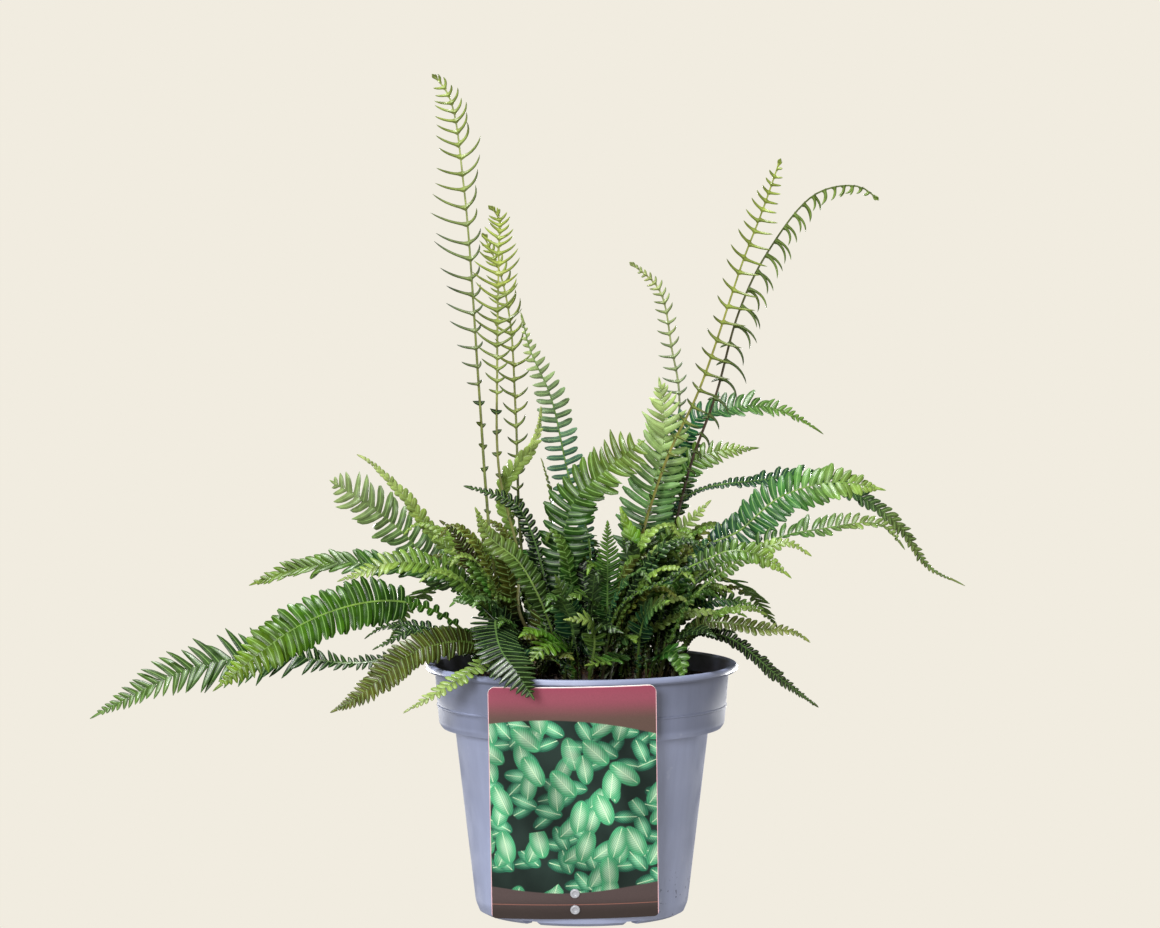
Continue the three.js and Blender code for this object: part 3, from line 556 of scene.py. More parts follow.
@dataclass
class Frond:
    """What both kinds of frond share. Lengths are in millimetres and angles in degrees.

    The seat is the frond's place round its crown, half is half the blade's width and bare is the share of
    the rib below the blade. The path is the rib's, as seen from the front: across, height and depth. A
    stalk's foot has CHAFF scales.
    """

    CHAFF = 9

    name: str
    crown: int
    seat: float
    tone: Tone
    half: float
    bare: float
    path: tuple[Triple, ...]
    face: Triple = (0, -1, 0)
    ring: float = 11.0
    hook: float = 16.0
    rib_wide: float = 0.95
    rib_tip: float = 0.28
    rib_sides: int = 8

    def stalk_colour(self, share: float) -> Colour:
        """Give the rib's colour, brown at the soil and green above.

        Args:
            share: The place, as a share of the rib's length.

        Returns:
            The colour.
        """
        green = blend(MIDRIB_GREEN, GREENS[self.tone].tip, 0.4)
        if share < 0.22:
            return blend(STALK_FOOT, STALK_GREEN, smooth_step(share, 0.02, 0.22))
        return blend(STALK_GREEN, green, smooth_step(share, 0.22, 0.5))

    def route(self) -> list[Vector]:
        """Give the places that the rib passes above the soil."""
        return [Rib.placed(point) for point in self.path]

    def lay_rib(self, work: Workpiece) -> Rib:
        """Add the rib to the workpiece.

        Args:
            work: The mesh that it joins.

        Returns:
            The rib's curve.
        """
        rib = Rib(self.crown, self.seat, self.ring, self.face, self.route())
        below = -RIB_SUNK / rib.length

        def place(along: float, turn: float) -> Vector:
            """Give a point of the rib's skin, which is round below and grooved on the blade's side.

            Args:
                along: The share of the length.
                turn: The share of the way round.

            Returns:
                The point.
            """
            share = below + (RIB_END - below) * along
            frame_at = rib.at(share)
            wide = self.rib_wide + (self.rib_tip - self.rib_wide) * max(0.0, share) ** 0.8
            angle = turn * math.tau
            rise = math.sin(angle)
            deep = wide * (0.95 if rise < 0 else 0.75 - 0.35 * rise ** 4)
            return (frame_at.place + frame_at.side * (math.cos(angle) * wide)
                    + frame_at.normal * (rise * deep))

        steps = max(16, round(rib.length / 4.5))
        work.tube(steps, self.rib_sides, place, self.stalk_colour)
        return rib

    def build(self, moulds: Moulds, finish: Material) -> Piece:
        """Build the frond.

        Args:
            moulds: The leaflet moulds.
            finish: The leaf material.

        Returns:
            The finished piece.
        """
        work = Workpiece()
        self.grow(work, moulds)
        return work.finish(self.name, self.tone.value, [finish], [self.name])

    def grow(self, work: Workpiece, moulds: Moulds) -> None:
        """Add the whole frond to a workpiece.

        Args:
            work: The mesh that it joins.
            moulds: The leaflet moulds.
        """
        growth = Growth(work, self.lay_rib(work), moulds, random.Random(self.name))
        self.chaff(growth)
        self.dress(growth)

    def dress(self, growth: Growth) -> None:
        """Add the leaflets, which each kind of frond does in its own way."""
        raise NotImplementedError

    def chaff(self, growth: Growth) -> None:
        """Add the brown scales at the foot of the stalk.

        Args:
            growth: The frond so far.
        """
        rib, rng = growth.rib, growth.rng
        for _ in range(self.CHAFF):
            frame_at = rib.at(rng.uniform(-4, 16) / rib.length)
            hand = rng.choice((1, -1))
            root = RibFrame(frame_at.place + frame_at.side * (hand * 0.7), frame_at.tangent,
                            frame_at.side, frame_at.normal * rng.choice((1, -1)))
            pose = LeafletPose(root, hand, rng.uniform(2.2, 4.2), 0.5, rng.uniform(40, 70), 10,
                               rng.uniform(-30, 30), 20)
            shade = blend(BARK, linear(88, 56, 34), rng.random())
            growth.moulds.scale.cast(growth.work, pose, shade, shade)


@dataclass
class LeafyFrond(Frond):
    """A sterile frond: flat leaflets all the way, with small lobes down the stalk.

    The blade widens past the share narrow and tapers past taper_from. Each leaflet lifts from the blade,
    droops towards its tip, sweeps forward and covers width_share of the pitch; wild is how uneven they are.
    """

    narrow: float = 0.0
    lift: float = 10.0
    leaflets: Cut = Cut.STRAP
    sweep: float = 8.0
    tip_sweep: float = 26.0
    width_share: float = 0.84
    droop: float = -16.0
    wild: float = 1.0
    pitch: float = 0.0
    taper_from: float = 0.6
    # How bright the green is. The heart fronds and the young ones take it below 1 as painted shade of the
    # plant's dark heart.
    shade: float = 1.0
    own: Greens | None = None

    @property
    def greens(self) -> Greens:
        """Give the frond's own colours, or else its tone's."""
        return self.own or GREENS[self.tone]

    def blade_width(self, share: float) -> float:
        """Give the blade's width.

        Args:
            share: The place, as a share of the leafy stretch.

        Returns:
            The width, as a share of the widest.
        """
        rise = 0.26 + 0.74 * smooth_step(share, self.narrow, self.narrow + 0.28)
        fall = 1 - smooth_step(share, self.taper_from, 1.05)
        return rise * fall ** 0.6

    def dress(self, growth: Growth) -> None:
        """Add the lobes, the leaflets and the tip.

        Args:
            growth: The frond so far.
        """
        rib = growth.rib
        self.lobes(growth)
        pitch = self.pitch or 3.3 + 0.07 * self.half
        share = self.bare
        while share < LEAFY_STOP:
            along = (share - self.bare) / (BLADE_END - self.bare)
            width = self.blade_width(along)
            step = pitch * (0.5 + 0.5 * min(1.0, 1.2 * width))
            for hand in (1, -1):
                root = share + 0.2 * hand * step / rib.length
                self.leaflet(growth, root, along, hand, step)
            share += step / rib.length
        self.tip(growth, pitch)

    def leaflet(self, growth: Growth, share: float, along: float, hand: int, step: float) -> None:
        """Add one leaflet.

        Args:
            growth: The frond so far.
            share: Its place along the rib.
            along: Its place along the leafy stretch.
            hand: 1 for the rib's right, -1 for its left.
            step: The room that it has along the rib.
        """
        wild, rng = self.wild, growth.rng
        reach = max(1.4, self.half * self.blade_width(along)) * rng.uniform(1 - 0.1 * wild, 1 + 0.06 * wild)
        hook = self.hook * rng.uniform(0.5, 1.5)
        at = growth.rib.at(share)
        root_frame = RibFrame(at.place - at.normal * 0.3, at.tangent, at.side, at.normal)
        pose = LeafletPose(
            root_frame, hand, reach * 1.04, step * 0.5 * self.width_share * rng.uniform(0.9, 1.08),
            sweep=self.sweep + self.tip_sweep * along - 0.4 * hook + rng.uniform(-5, 5) * wild, hook=hook,
            lift=self.lift + rng.uniform(-8, 8) * wild, curl=self.droop * rng.uniform(0.2, 1.8))
        shade = self.greens.at(along)
        light = rng.uniform(0.8, 1.2) * self.shade
        root = tuple(channel * light * 0.88 for channel in shade)
        tip = tuple(channel * light * 1.1 for channel in shade)
        self.mould(growth.moulds, along).cast(growth.work, pose, root, tip)

    def mould(self, moulds: Moulds, along: float) -> Mould:
        """Choose the mould for a leaflet.

        Args:
            moulds: The leaflet moulds.
            along: Its place along the leafy stretch.

        Returns:
            The mould.
        """
        chosen = {Cut.STRAP: moulds.strap, Cut.TAPER: moulds.taper, Cut.ROUND: moulds.round,
                  Cut.TILE: moulds.tile}[self.leaflets]
        return moulds.taper if chosen in (moulds.strap, moulds.tile) and along > 0.74 else chosen

    def lobes(self, growth: Growth) -> None:
        """Add the small lobes below the blade, sparser and smaller towards the soil.

        Args:
            growth: The frond so far.
        """
        rib, rng = growth.rib, growth.rng
        share = self.bare
        step = 4.6
        while share > max(0.3 * self.bare, 6 / rib.length):
            share -= step / rib.length
            fade = smooth_step(share, 0.0, self.bare)
            reach = self.half * (0.12 + 0.16 * fade)
            for hand in (1, -1):
                pose = LeafletPose(rib.at(share + 0.3 * hand * step / rib.length), hand,
                                   max(1.8, reach) * rng.uniform(0.85, 1.15), 1.5 + 0.5 * fade,
                                   rng.uniform(0, 14), 20, self.lift + rng.uniform(-8, 8), -10)
                shade = blend(self.greens.foot, self.greens.middle, 0.4 * rng.random())
                growth.moulds.small.cast(growth.work, pose, shade, shade)
            step += 0.5

    def tip(self, growth: Growth, pitch: float) -> None:
        """Add the pointed leaflet that ends the blade.

        Args:
            growth: The frond so far.
            pitch: The leaflets' pitch.
        """
        end = growth.rib.at(BLADE_END)
        ahead = RibFrame(end.place, -end.side, end.tangent, end.normal)
        shade = self.greens.tip
        pose = LeafletPose(ahead, 1, max(pitch, 0.034 * growth.rib.length), 0.9, 0, 0, 0, -6)
        growth.moulds.taper.cast(growth.work, pose, shade, shade)


@dataclass
class YoungFrond(LeafyFrond):
    """A short frond in the plant's heart, with its path in plain coordinates."""

    @property
    def greens(self) -> Greens:
        """Darken the tone's colours towards the foot as painted shade, deep among the stalks.

        Returns:
            The frond's colours.
        """
        tone = GREENS[self.tone]
        return Greens(blend(tone.foot, BARK, 0.7), blend(tone.foot, tone.middle, 0.8),
                      blend(tone.middle, tone.tip, 0.6))

    def route(self) -> list[Vector]:
        """Give the places that the rib passes above the soil."""
        return [Vector(point) for point in self.path]

    def mould(self, moulds: Moulds, along: float) -> Mould:
        """Choose the small mould for every leaflet."""
        return moulds.small


@dataclass
class Heart:
    """The young fronds that crowd round one crown: a ring of them, then some at its outer side and behind.

    How far they reach out and rise and how wide they are lies between the two numbers of a pair.
    """

    number: int
    ring_count: int = 12
    ring_reach: Pair = (26.0, 78.0)
    ring_rise: Pair = (10.0, 78.0)
    ring_half: Pair = (4.5, 8.5)
    side_count: int = 8
    right_extra: int = 4
    side_spread: float = 50.0
    side_reach: Pair = (48.0, 78.0)
    side_rise: Pair = (10.0, 82.0)
    side_half: Pair = (3.4, 5.8)
    back_count: int = 4
    back_spread: float = 60.0
    back_reach: Pair = (18.0, 44.0)
    back_rise: Pair = (36.0, 62.0)
    back_half: Pair = (6.0, 9.0)
    tones: tuple[Tone, ...] = (Tone.DARK, Tone.DEEP, Tone.MID, Tone.OLIVE, Tone.DARK, Tone.FRESH, Tone.BLUE)
    side_tones: tuple[Tone, ...] = (Tone.OLIVE, Tone.LIGHT, Tone.PALE, Tone.DARK, Tone.MID, Tone.LIGHT)

    def build(self, moulds: Moulds, finish: Material) -> Piece:
        """Build the young fronds of one crown.

        Args:
            moulds: The leaflet moulds.
            finish: The leaf material.

        Returns:
            The finished piece.
        """
        work = Workpiece()
        rng = random.Random(f"heart {self.number}")
        near, far = self.ring_reach
        low, high = self.ring_rise
        # Painted shade: the ring's fronds are darkened to 0.7.
        for k in range(self.ring_count):
            steep = rng.random()
            self.young(work, moulds, rng, 360 * (k + rng.uniform(0.2, 0.8)) / self.ring_count,
                       (far - (far - near) * steep) * rng.uniform(0.8, 1.1), low + (high - low) * steep,
                       half=rng.uniform(*self.ring_half), tone=rng.choice(self.tones), shade=0.7)
        right = CROWNS[self.number][0] > 0
        side = 0 if right else 180
        low, high = self.side_rise
        # Painted light and shade by height: side fronds brighten the higher they rise, and more on the
        # plant's right.
        for _ in range(self.side_count + self.right_extra * right):
            steep = math.sqrt(rng.random())
            self.young(work, moulds, rng, side + rng.uniform(-self.side_spread, self.side_spread),
                       rng.uniform(*self.side_reach), low + (high - low) * steep,
                       half=rng.uniform(*self.side_half), tone=rng.choice(self.side_tones),
                       shade=0.65 + 0.4 * steep + 0.15 * right)
        # Painted shade: the fronds behind are darkened to 0.6.
        for _ in range(self.back_count):
            self.young(work, moulds, rng, 90 + rng.uniform(-self.back_spread, self.back_spread),
                       rng.uniform(*self.back_reach), rng.uniform(*self.back_rise),
                       half=rng.uniform(*self.back_half), tone=rng.choice(self.tones), shade=0.6)
        return work.finish(f"young_fronds_{self.number + 1}", Tone.DEEP.value, [finish])

    def young(self, work: Workpiece, moulds: Moulds, rng: random.Random, seat: float, reach: float,
              rise: float, half: float, tone: Tone, shade: float) -> None:
        """Add one young frond that arches out of the crown.

        Args:
            work: The mesh that it joins.
            moulds: The leaflet moulds.
            rng: The crown's random draws.
            seat: Its angle round the crown, in degrees.
            reach: How far out it arches.
            rise: How far up it arches.
            half: Half its blade's width.
            tone: Its green.
            shade: How bright its green is.
        """
        x, y = CROWNS[self.number]
        out = Vector((math.cos(math.radians(seat)), math.sin(math.radians(seat)), 0))
        lean = out * reach + Vector((-x, -y, 0)) * 0.15
        foot = Vector((x, y, SOIL_TOP + NECK_RISE))
        path = tuple(tuple(foot + lean * across + Vector((0, 0, rise * up)))
                     for across, up in ((0.38, 0.62), (0.68, 0.95), (0.88, 1.0), (1.0, 0.92)))
        face = (-0.35 * out.x, -0.35 * out.y - 0.5, 0.9)
        YoungFrond(f"young_{self.number}_{rng.random()}", self.number, seat, tone, half, 0.22, path, face,
                   ring=8.0, rib_wide=0.7, rib_sides=6, width_share=0.95, wild=1.6, droop=-24,
                   shade=shade).grow(work, moulds)


@dataclass
class FertileFrond(Frond):
    """A fertile frond: a long stalk with narrow hooked leaflets, wide apart.

    The leaflets grow to their full length over a stretch that a high ramp makes short. Past the share hang
    all of them stand to the right. The two shares are how long each side's lower ones are. The stalk has
    BUMPS pairs of lobes and its curled tip CROZIER leaflets.
    """

    BUMPS = 7
    CROZIER = 5

    pairs: int = 15
    hook: float = 30.0
    hook_right: float = 76.0
    sweep_left: float = 4.0
    sweep_right: float = 6.0
    right_share: float = 0.5
    left_share: float = 1.0
    ramp: float = 2.0
    hang: float = 1.0
    rib_wide: float = 1.05
    rib_tip: float = 0.4
    stalk: Colour = linear(122, 130, 62)
    stalk_tip: Colour = linear(160, 178, 84)
    stalk_foot: Colour = linear(58, 40, 28)
    low: Colour = linear(46, 54, 42)
    high: Colour = linear(146, 168, 76)

    def stalk_colour(self, share: float) -> Colour:
        """Give the rib's colour at a share of its length: brown at the soil, then the stalk's own."""
        low = blend(self.stalk_foot, self.stalk, smooth_step(share, 0.03, 0.3))
        return blend(low, self.stalk_tip, smooth_step(share, 0.4, 1.0))

    def swell(self, along: float) -> float:
        """Give the leaflets' length at a share of the leafy stretch, as a share of the longest."""
        return min(1.0, 0.3 + self.ramp * along) * (1 - 0.75 * along ** 4)

    def dress(self, growth: Growth) -> None:
        """Add the lobes, the leaflets and the curled tip.

        Args:
            growth: The frond so far.
        """
        self.bumps(growth)
        share = self.bare
        while share < FERTILE_STOP:
            along = (share - self.bare) / (BLADE_END - self.bare)
            near = smooth_step(along, 0.55, 1.0)
            step = (BLADE_END - self.bare) / self.pairs * (1 - 0.55 * near)
            for hand in (1, -1):
                self.leaflet(growth, share + growth.rng.uniform(-0.08, 0.08) * step, along, hand)
            share += step
        self.crozier(growth)

    def leaflet(self, growth: Growth, share: float, along: float, hand: int) -> None:
        """Add one narrow leaflet.

        Args:
            growth: The frond so far.
            share: Its place along the rib.
            along: Its place along the leafy stretch.
            hand: 1 for the rib's right, -1 for its left.
        """
        rng = growth.rng
        reach = max(2.0, self.half * self.swell(along)) * rng.uniform(0.88, 1.1)
        if hand > 0 or along > self.hang:
            sweep, hook, low_share = self.sweep_right, self.hook_right, self.right_share
            sweep += 0 if hand > 0 else 14
            hand = 1
        else:
            sweep, hook, low_share = self.sweep_left, self.hook, self.left_share
        reach *= low_share + (1 - low_share) * smooth_step(along, 0.45, 0.8)
        pose = LeafletPose(growth.rib.at(share), hand, reach * 1.12, 0.8,
                           sweep + rng.uniform(-6, 6) + 8 * along, hook * rng.uniform(0.75, 1.2),
                           rng.uniform(-14, 22), rng.uniform(-10, 26))
        tip = blend(self.low, self.high, smooth_step(along + rng.uniform(-0.1, 0.1), 0.2, 1.0))
        growth.moulds.narrow.cast(growth.work, pose, blend(tip, self.stalk_tip, 0.5), tip)

    def bumps(self, growth: Growth) -> None:
        """Add the small lobes on the lower stalk.

        Args:
            growth: The frond so far.
        """
        rib, rng = growth.rib, growth.rng
        for k in range(self.BUMPS):
            share = self.bare * (0.45 + 0.52 * (k + 0.5) / self.BUMPS)
            for hand in (1, -1):
                pose = LeafletPose(rib.at(share + rng.uniform(-1, 1) / rib.length), hand,
                                   (1.6 + 2.4 * k / self.BUMPS) * rng.uniform(0.8, 1.2), 1.2,
                                   rng.uniform(4, 20), 24, rng.uniform(-10, 20), 10)
                shade = blend(GREENS[Tone.DARK].middle, GREENS[Tone.OLIVE].middle, rng.random())
                growth.moulds.lobe.cast(growth.work, pose, shade, shade)

    def crozier(self, growth: Growth) -> None:
        """Add the few crowded leaflets that curl at the tip.

        Args:
            growth: The frond so far.
        """
        end = growth.rib.at(FERTILE_STOP)
        for k in range(self.CROZIER):
            frame_at = RibFrame(end.place + end.tangent * (0.5 * k), end.tangent, end.side, end.normal)
            pose = LeafletPose(frame_at, -1 if k % 2 else 1, 3.2 - 0.3 * k, 0.5, 30 + 8 * k, 60, 10, 30)
            growth.moulds.narrow.cast(growth.work, pose, self.stalk_tip, self.high)


FRONDS: tuple[Frond, ...] = (
    LeafyFrond("frond_left_1", 0, 188, Tone.FRESH, half=14, bare=0.38, narrow=-0.15, lift=8,
        own=Greens.of((38, 78, 16), (80, 138, 18), (144, 178, 44)), leaflets=Cut.TILE, shade=0.86, wild=0.7,
        sweep=4, tip_sweep=16, width_share=1.04, droop=-26, face=(0, -1, 0.35),
        path=((-66, 156, -20), (-81, 166, -26), (-101, 171, -32), (-124, 169, -38), (-155, 157, -46),
              (-201, 122, -58))),
    LeafyFrond("frond_left_2", 0, 160, Tone.DEEP, half=19, bare=0.1, narrow=0.3, lift=18, pitch=5.2,
        own=Greens.of((34, 50, 26), (56, 100, 44), (110, 146, 66)), shade=0.9, sweep=20, tip_sweep=18,
        width_share=0.78, wild=1.5, leaflets=Cut.TAPER, face=(0, -0.8, 0.6),
        path=((-77, 147, 0), (-99, 141, 2), (-125, 137, 4), (-170, 141, 4), (-213, 134, 2), (-240, 122, 0),
              (-268, 107, -2))),
    LeafyFrond("frond_left_3", 1, 182, Tone.MID, half=10.5, bare=0.2, narrow=0.1, lift=16, taper_from=0.78,
        shade=0.8, sweep=30, width_share=0.85, wild=1.6, face=(0, -0.8, 0.7),
        path=((-55, 172, 24), (-77, 185, 24), (-127, 192, 34), (-153, 189, 40), (-181, 180, 46))),
    LeafyFrond("frond_left_4", 0, 100, Tone.LIGHT, half=10, bare=0.3, lift=14, face=(0, -0.6, 0.8),
        path=((-58, 174, 0), (-77, 189, -3), (-103, 192, -6), (-124, 185, -8), (-133, 182, -9))),
    LeafyFrond("frond_left_5", 1, 154, Tone.LIGHT, half=14, bare=0.3,
        own=Greens.of((54, 84, 46), (112, 150, 84), (180, 204, 130)), pitch=5.0, shade=0.94, taper_from=0.84,
        sweep=4, hook=44, width_share=0.82, droop=-34, face=(-0.3, -1, 0),
        path=((-60, 175, 36), (-85, 195, 42), (-97, 208, 46), (-115, 223, 52), (-137, 237, 60))),
    LeafyFrond("frond_left_6", 1, 212, Tone.PALE, half=5.5, bare=0.3, lift=25, sweep=26, width_share=1.0,
        wild=1.8, face=(0.3, -0.9, 0.6),
        path=((-50, 180, 20), (-61, 193, 20), (-78, 204, 22), (-94, 225, 24), (-115, 247, 26),
              (-122, 251, 27))),
    LeafyFrond("frond_left_7", 0, 60, Tone.BROWN, half=6, bare=0.4, lift=15, face=(0.6, -0.8, 0),
        path=((-52, 180, -2), (-61, 193, -3), (-70, 209, -5), (-77, 215, -6))),
    LeafyFrond("frond_left_8", 0, 214, Tone.OLIVE, half=10, bare=0.12, shade=0.72, width_share=1.08, hook=10,
        pitch=3.2, face=(0, -1, 0.5),
        path=((-60, 148, -28), (-80, 147, -38), (-95, 141, -44), (-109, 129, -50), (-124, 117, -56),
              (-137, 110, -60))),
    LeafyFrond("frond_left_9", 0, 130, Tone.DARK, half=6, bare=0.25, face=(0, -0.5, 1),
        path=((-60, 146, 8), (-82, 156, 14), (-108, 157, 18), (-118, 151, 20))),
    LeafyFrond("frond_left_10", 0, 175, Tone.DARK, half=6, bare=0.25, ring=17, face=(0, -0.5, 1),
        path=((-72, 148, -12), (-94, 155, -16), (-103, 150, -18), (-113, 145, -19))),
    LeafyFrond("frond_left_11", 0, 240, Tone.PALE, half=6, bare=0.25, face=(0, -0.5, 1),
        path=((-50, 139, -50), (-60, 133, -66), (-77, 122, -80), (-97, 110, -90))),
    LeafyFrond("frond_left_12", 0, 285, Tone.DARK, half=13, bare=0.22, narrow=-0.16, lift=-8,
        leaflets=Cut.TILE, width_share=1.04, sweep=4, tip_sweep=16, hook=8, droop=-6, wild=0.5, pitch=3.8,
        taper_from=0.72, shade=0.62, face=(0.2, -1, 0.6),
        path=((-46, 160, -40), (-47, 156, -56), (-44, 144, -78), (-35, 131, -94), (-26, 117, -102))),
    LeafyFrond("frond_left_13", 2, 145, Tone.DARK, half=4.5, bare=0.45, shade=0.75, hook=40, width_share=0.8,
        face=(0, -1, 0.3),
        path=((-18, 175, -16), (-28, 210, -16), (-36, 224, -17), (-53, 231, -18), (-64, 234, -19))),
    LeafyFrond("frond_left_14", 1, 300, Tone.PALE, half=6, bare=0.45, shade=1.5, sweep=30, width_share=0.9,
        wild=1.8, face=(0.4, -1, 0),
        path=((-28, 165, 14), (-36, 204, 8), (-43, 232, 6), (-25, 259, 6), (-22, 277, 6))),
    LeafyFrond("frond_left_15", 2, 172, Tone.LIGHT, half=7, bare=0.25, shade=0.85,
        own=Greens.of((24, 44, 22), (84, 118, 46), (170, 196, 96)), leaflets=Cut.ROUND, width_share=1.1,
        face=(0.3, -1, 0.2),
        path=((-20, 165, -24), (-34, 192, -27), (-51, 207, -29), (-58, 222, -30))),
    LeafyFrond("frond_mid_1", 2, 80, Tone.BLUE, half=10, bare=0.25, narrow=0.1, lift=8, pitch=5.2,
        own=Greens.of((40, 84, 66), (100, 146, 118), (190, 208, 130)), shade=1.15, tip_sweep=20, sweep=-2,
        hook=24, width_share=0.62, face=(0.3, -1, 0),
        path=((4, 165, 4), (4, 204, 18), (-7, 239, 22), (-17, 283, 25), (-28, 308, 26), (-33, 328, 26))),
    LeafyFrond("frond_mid_2", 1, 335, Tone.PALE, half=4, bare=0.5, face=(1, -0.3, 0),
        path=((-16, 170, 16), (-16, 203, 14), (-17, 231, 14), (-22, 249, 14))),
    LeafyFrond("frond_mid_3", 2, 112, Tone.MID, half=15, bare=0.25, lift=12, tip_sweep=14, wild=1.5,
        taper_from=0.9, shade=0.74, sweep=6, hook=26, width_share=1.0, face=(-0.2, -1, 0.5),
        path=((-10, 165, -10), (-12, 193, -8), (-4, 226, -7), (10, 240, -6), (23, 251, -6), (34, 259, -6))),
    LeafyFrond("frond_mid_4", 4, 270, Tone.MID, half=16, bare=0.2, lift=8, taper_from=0.74,
        own=Greens.of((24, 54, 40), (108, 158, 88), (208, 234, 142)), shade=1.25, tip_sweep=36, sweep=2,
        hook=24, wild=1.4, face=(0, -1, 0.1),
        path=((28, 165, 14), (32, 193, 12), (36, 224, 12), (44, 254, 13), (45, 268, 13), (42, 293, 14))),
    LeafyFrond("frond_mid_5", 2, 20, Tone.DEEP, half=8, bare=0.2, lift=12, pitch=2.6, width_share=0.8,
        face=(0.3, -1, 0),
        path=((14, 165, -26), (14, 182, -28), (14, 215, -30))),
    LeafyFrond("frond_mid_6", 2, 350, Tone.FRESH, half=7, bare=0.45, sweep=36, width_share=1.15, wild=1.8,
        face=(0, -1, 0.3),
        path=((24, 165, -20), (30, 193, -18), (21, 222, -16))),
    LeafyFrond("frond_right_1", 4, 25, Tone.BLUE, half=13, bare=0.35, narrow=0.05, lift=22, taper_from=0.5,
        sweep=2, hook=34, width_share=0.86, wild=1.5, face=(0, -0.6, 0.9),
        path=((40, 180, 38), (47, 235, 46), (59, 268, 48), (83, 277, 48), (101, 277, 48), (116, 272, 48),
              (131, 263, 48))),
    LeafyFrond("frond_right_2", 4, 0, Tone.MID, half=10, bare=0.42, lift=12, face=(0, -0.8, 0.6),
        path=((42, 185, 32), (53, 238, 35), (67, 251, 35), (96, 255, 36))),
    LeafyFrond("frond_right_3", 3, 20, Tone.FRESH, half=13, bare=0.44, narrow=-0.12,
        own=Greens.of((26, 70, 54), (82, 148, 68), (172, 204, 92)), leaflets=Cut.ROUND, width_share=1.1,
        hook=14, droop=-24, wild=1.4, face=(0, -1, 0.5),
        path=((56, 180, -10), (64, 199, -12), (85, 209, -14), (108, 228, -17), (137, 236, -20),
              (165, 232, -22))),
    LeafyFrond("frond_right_4", 4, 345, Tone.DEEP, half=9, bare=0.35, narrow=0.05, lift=12,
        own=Greens.of((40, 72, 62), (64, 108, 70), (138, 150, 84)), width_share=0.9, taper_from=0.45,
        ring=17, face=(0, -0.5, 1),
        path=((44, 180, 26), (49, 218, 26), (62, 231, 26), (96, 237, 26), (121, 239, 26), (150, 229, 22),
              (173, 212, 18), (189, 190, 14), (208, 180, 10))),
    LeafyFrond("frond_right_5", 3, 350, Tone.MID, half=10, bare=0.3, narrow=0.15, lift=25, pitch=4.4,
        own=Greens.of((34, 60, 38), (88, 130, 62), (150, 172, 96)), leaflets=Cut.ROUND, width_share=0.86,
        wild=1.4, face=(0, -0.5, 1),
        path=((60, 178, -20), (86, 196, -26), (111, 207, -29), (127, 210, -30), (163, 213, -32),
              (176, 200, -33))),
    LeafyFrond("frond_right_6", 3, 318, Tone.LIGHT, half=5, bare=0.45, face=(0, -0.8, 0.6),
        path=((60, 172, -36), (84, 192, -42), (102, 201, -44), (113, 203, -45), (125, 196, -46))),
    LeafyFrond("frond_right_7", 2, 310, Tone.FRESH, half=6.5, bare=0.6, narrow=-0.1, wild=1.6,
        own=Greens.of((40, 66, 34), (98, 142, 52), (172, 202, 90)), leaflets=Cut.ROUND, width_share=1.1,
        face=(0, -0.8, 0.6),
        path=((20, 167, -38), (44, 182, -54), (66, 193, -60), (83, 199, -64), (101, 194, -66),
              (114, 184, -68))),
    LeafyFrond("frond_right_8", 3, 334, Tone.OLIVE, half=6, bare=0.15, lift=15,
        own=Greens.of((60, 66, 34), (112, 124, 60), (164, 178, 92)), ring=17, face=(0, -0.7, 0.8),
        path=((64, 158, -26), (79, 159, -30), (96, 156, -33), (116, 154, -36), (124, 149, -37))),
    LeafyFrond("frond_right_9", 3, 4, Tone.DARK, half=5, bare=0.15,
        own=Greens.of((22, 26, 20), (52, 62, 46), (96, 108, 74)), pitch=2.6, width_share=1.0, ring=17,
        face=(0.2, -0.7, 0.8),
        path=((62, 153, -10), (72, 153, -10), (84, 149, -10), (109, 128, -12), (129, 113, -14))),
    LeafyFrond("frond_right_10", 3, 288, Tone.DEEP, half=7, bare=0.2, leaflets=Cut.ROUND, width_share=1.2,
        pitch=4.4, face=(0, -0.6, 0.8),
        path=((43, 142, -38), (51, 143, -46), (55, 134, -52), (56, 128, -54))),
    LeafyFrond("frond_right_11", 3, 205, Tone.MID, half=7, bare=0.4, lift=22, shade=0.8, face=(0, -0.5, 1),
        path=((24, 141, -32), (15, 138, -48), (3, 136, -58))),
    LeafyFrond("frond_right_12", 3, 48, Tone.BLUE, half=5, bare=0.35, shade=0.7, face=(0, -0.8, 0.6),
        path=((60, 166, 4), (79, 172, 8), (98, 167, 10))),
    LeafyFrond("frond_right_13", 3, 105, Tone.LIGHT, half=7, bare=0.4, wild=1.7, shade=0.85,
        face=(-0.2, -1, 0.3),
        path=((37, 165, -2), (41, 193, -3), (59, 215, -5), (70, 226, -6))),
    # The heart fronds take shade 0.6: painted shade of the plant's dark heart.
    LeafyFrond("frond_heart_1", 2, 200, Tone.BLUE, half=10, bare=0.2, shade=0.6, face=(0, -0.7, 0.7),
        path=((-5, 152, -32), (-10, 172, -42), (-14, 184, -50))),
    LeafyFrond("frond_heart_2", 2, 235, Tone.FRESH, half=9, bare=0.2, shade=0.6, face=(0, -0.7, 0.7),
        path=((-8, 146, -44), (-18, 147, -58), (-28, 138, -68))),
    LeafyFrond("frond_heart_3", 2, 275, Tone.LIGHT, half=7, bare=0.2, shade=0.6, face=(0, -0.7, 0.7),
        path=((7, 148, -42), (4, 160, -54), (-8, 161, -58))),
    LeafyFrond("frond_heart_4", 3, 258, Tone.BLUE, half=8, bare=0.2, shade=0.6, face=(0, -0.8, 0.6),
        path=((32, 154, -31), (37, 166, -46), (47, 171, -58))),
    LeafyFrond("frond_back_1", 1, 125, Tone.MID, half=12, bare=0.2, face=(0, 0, 1),
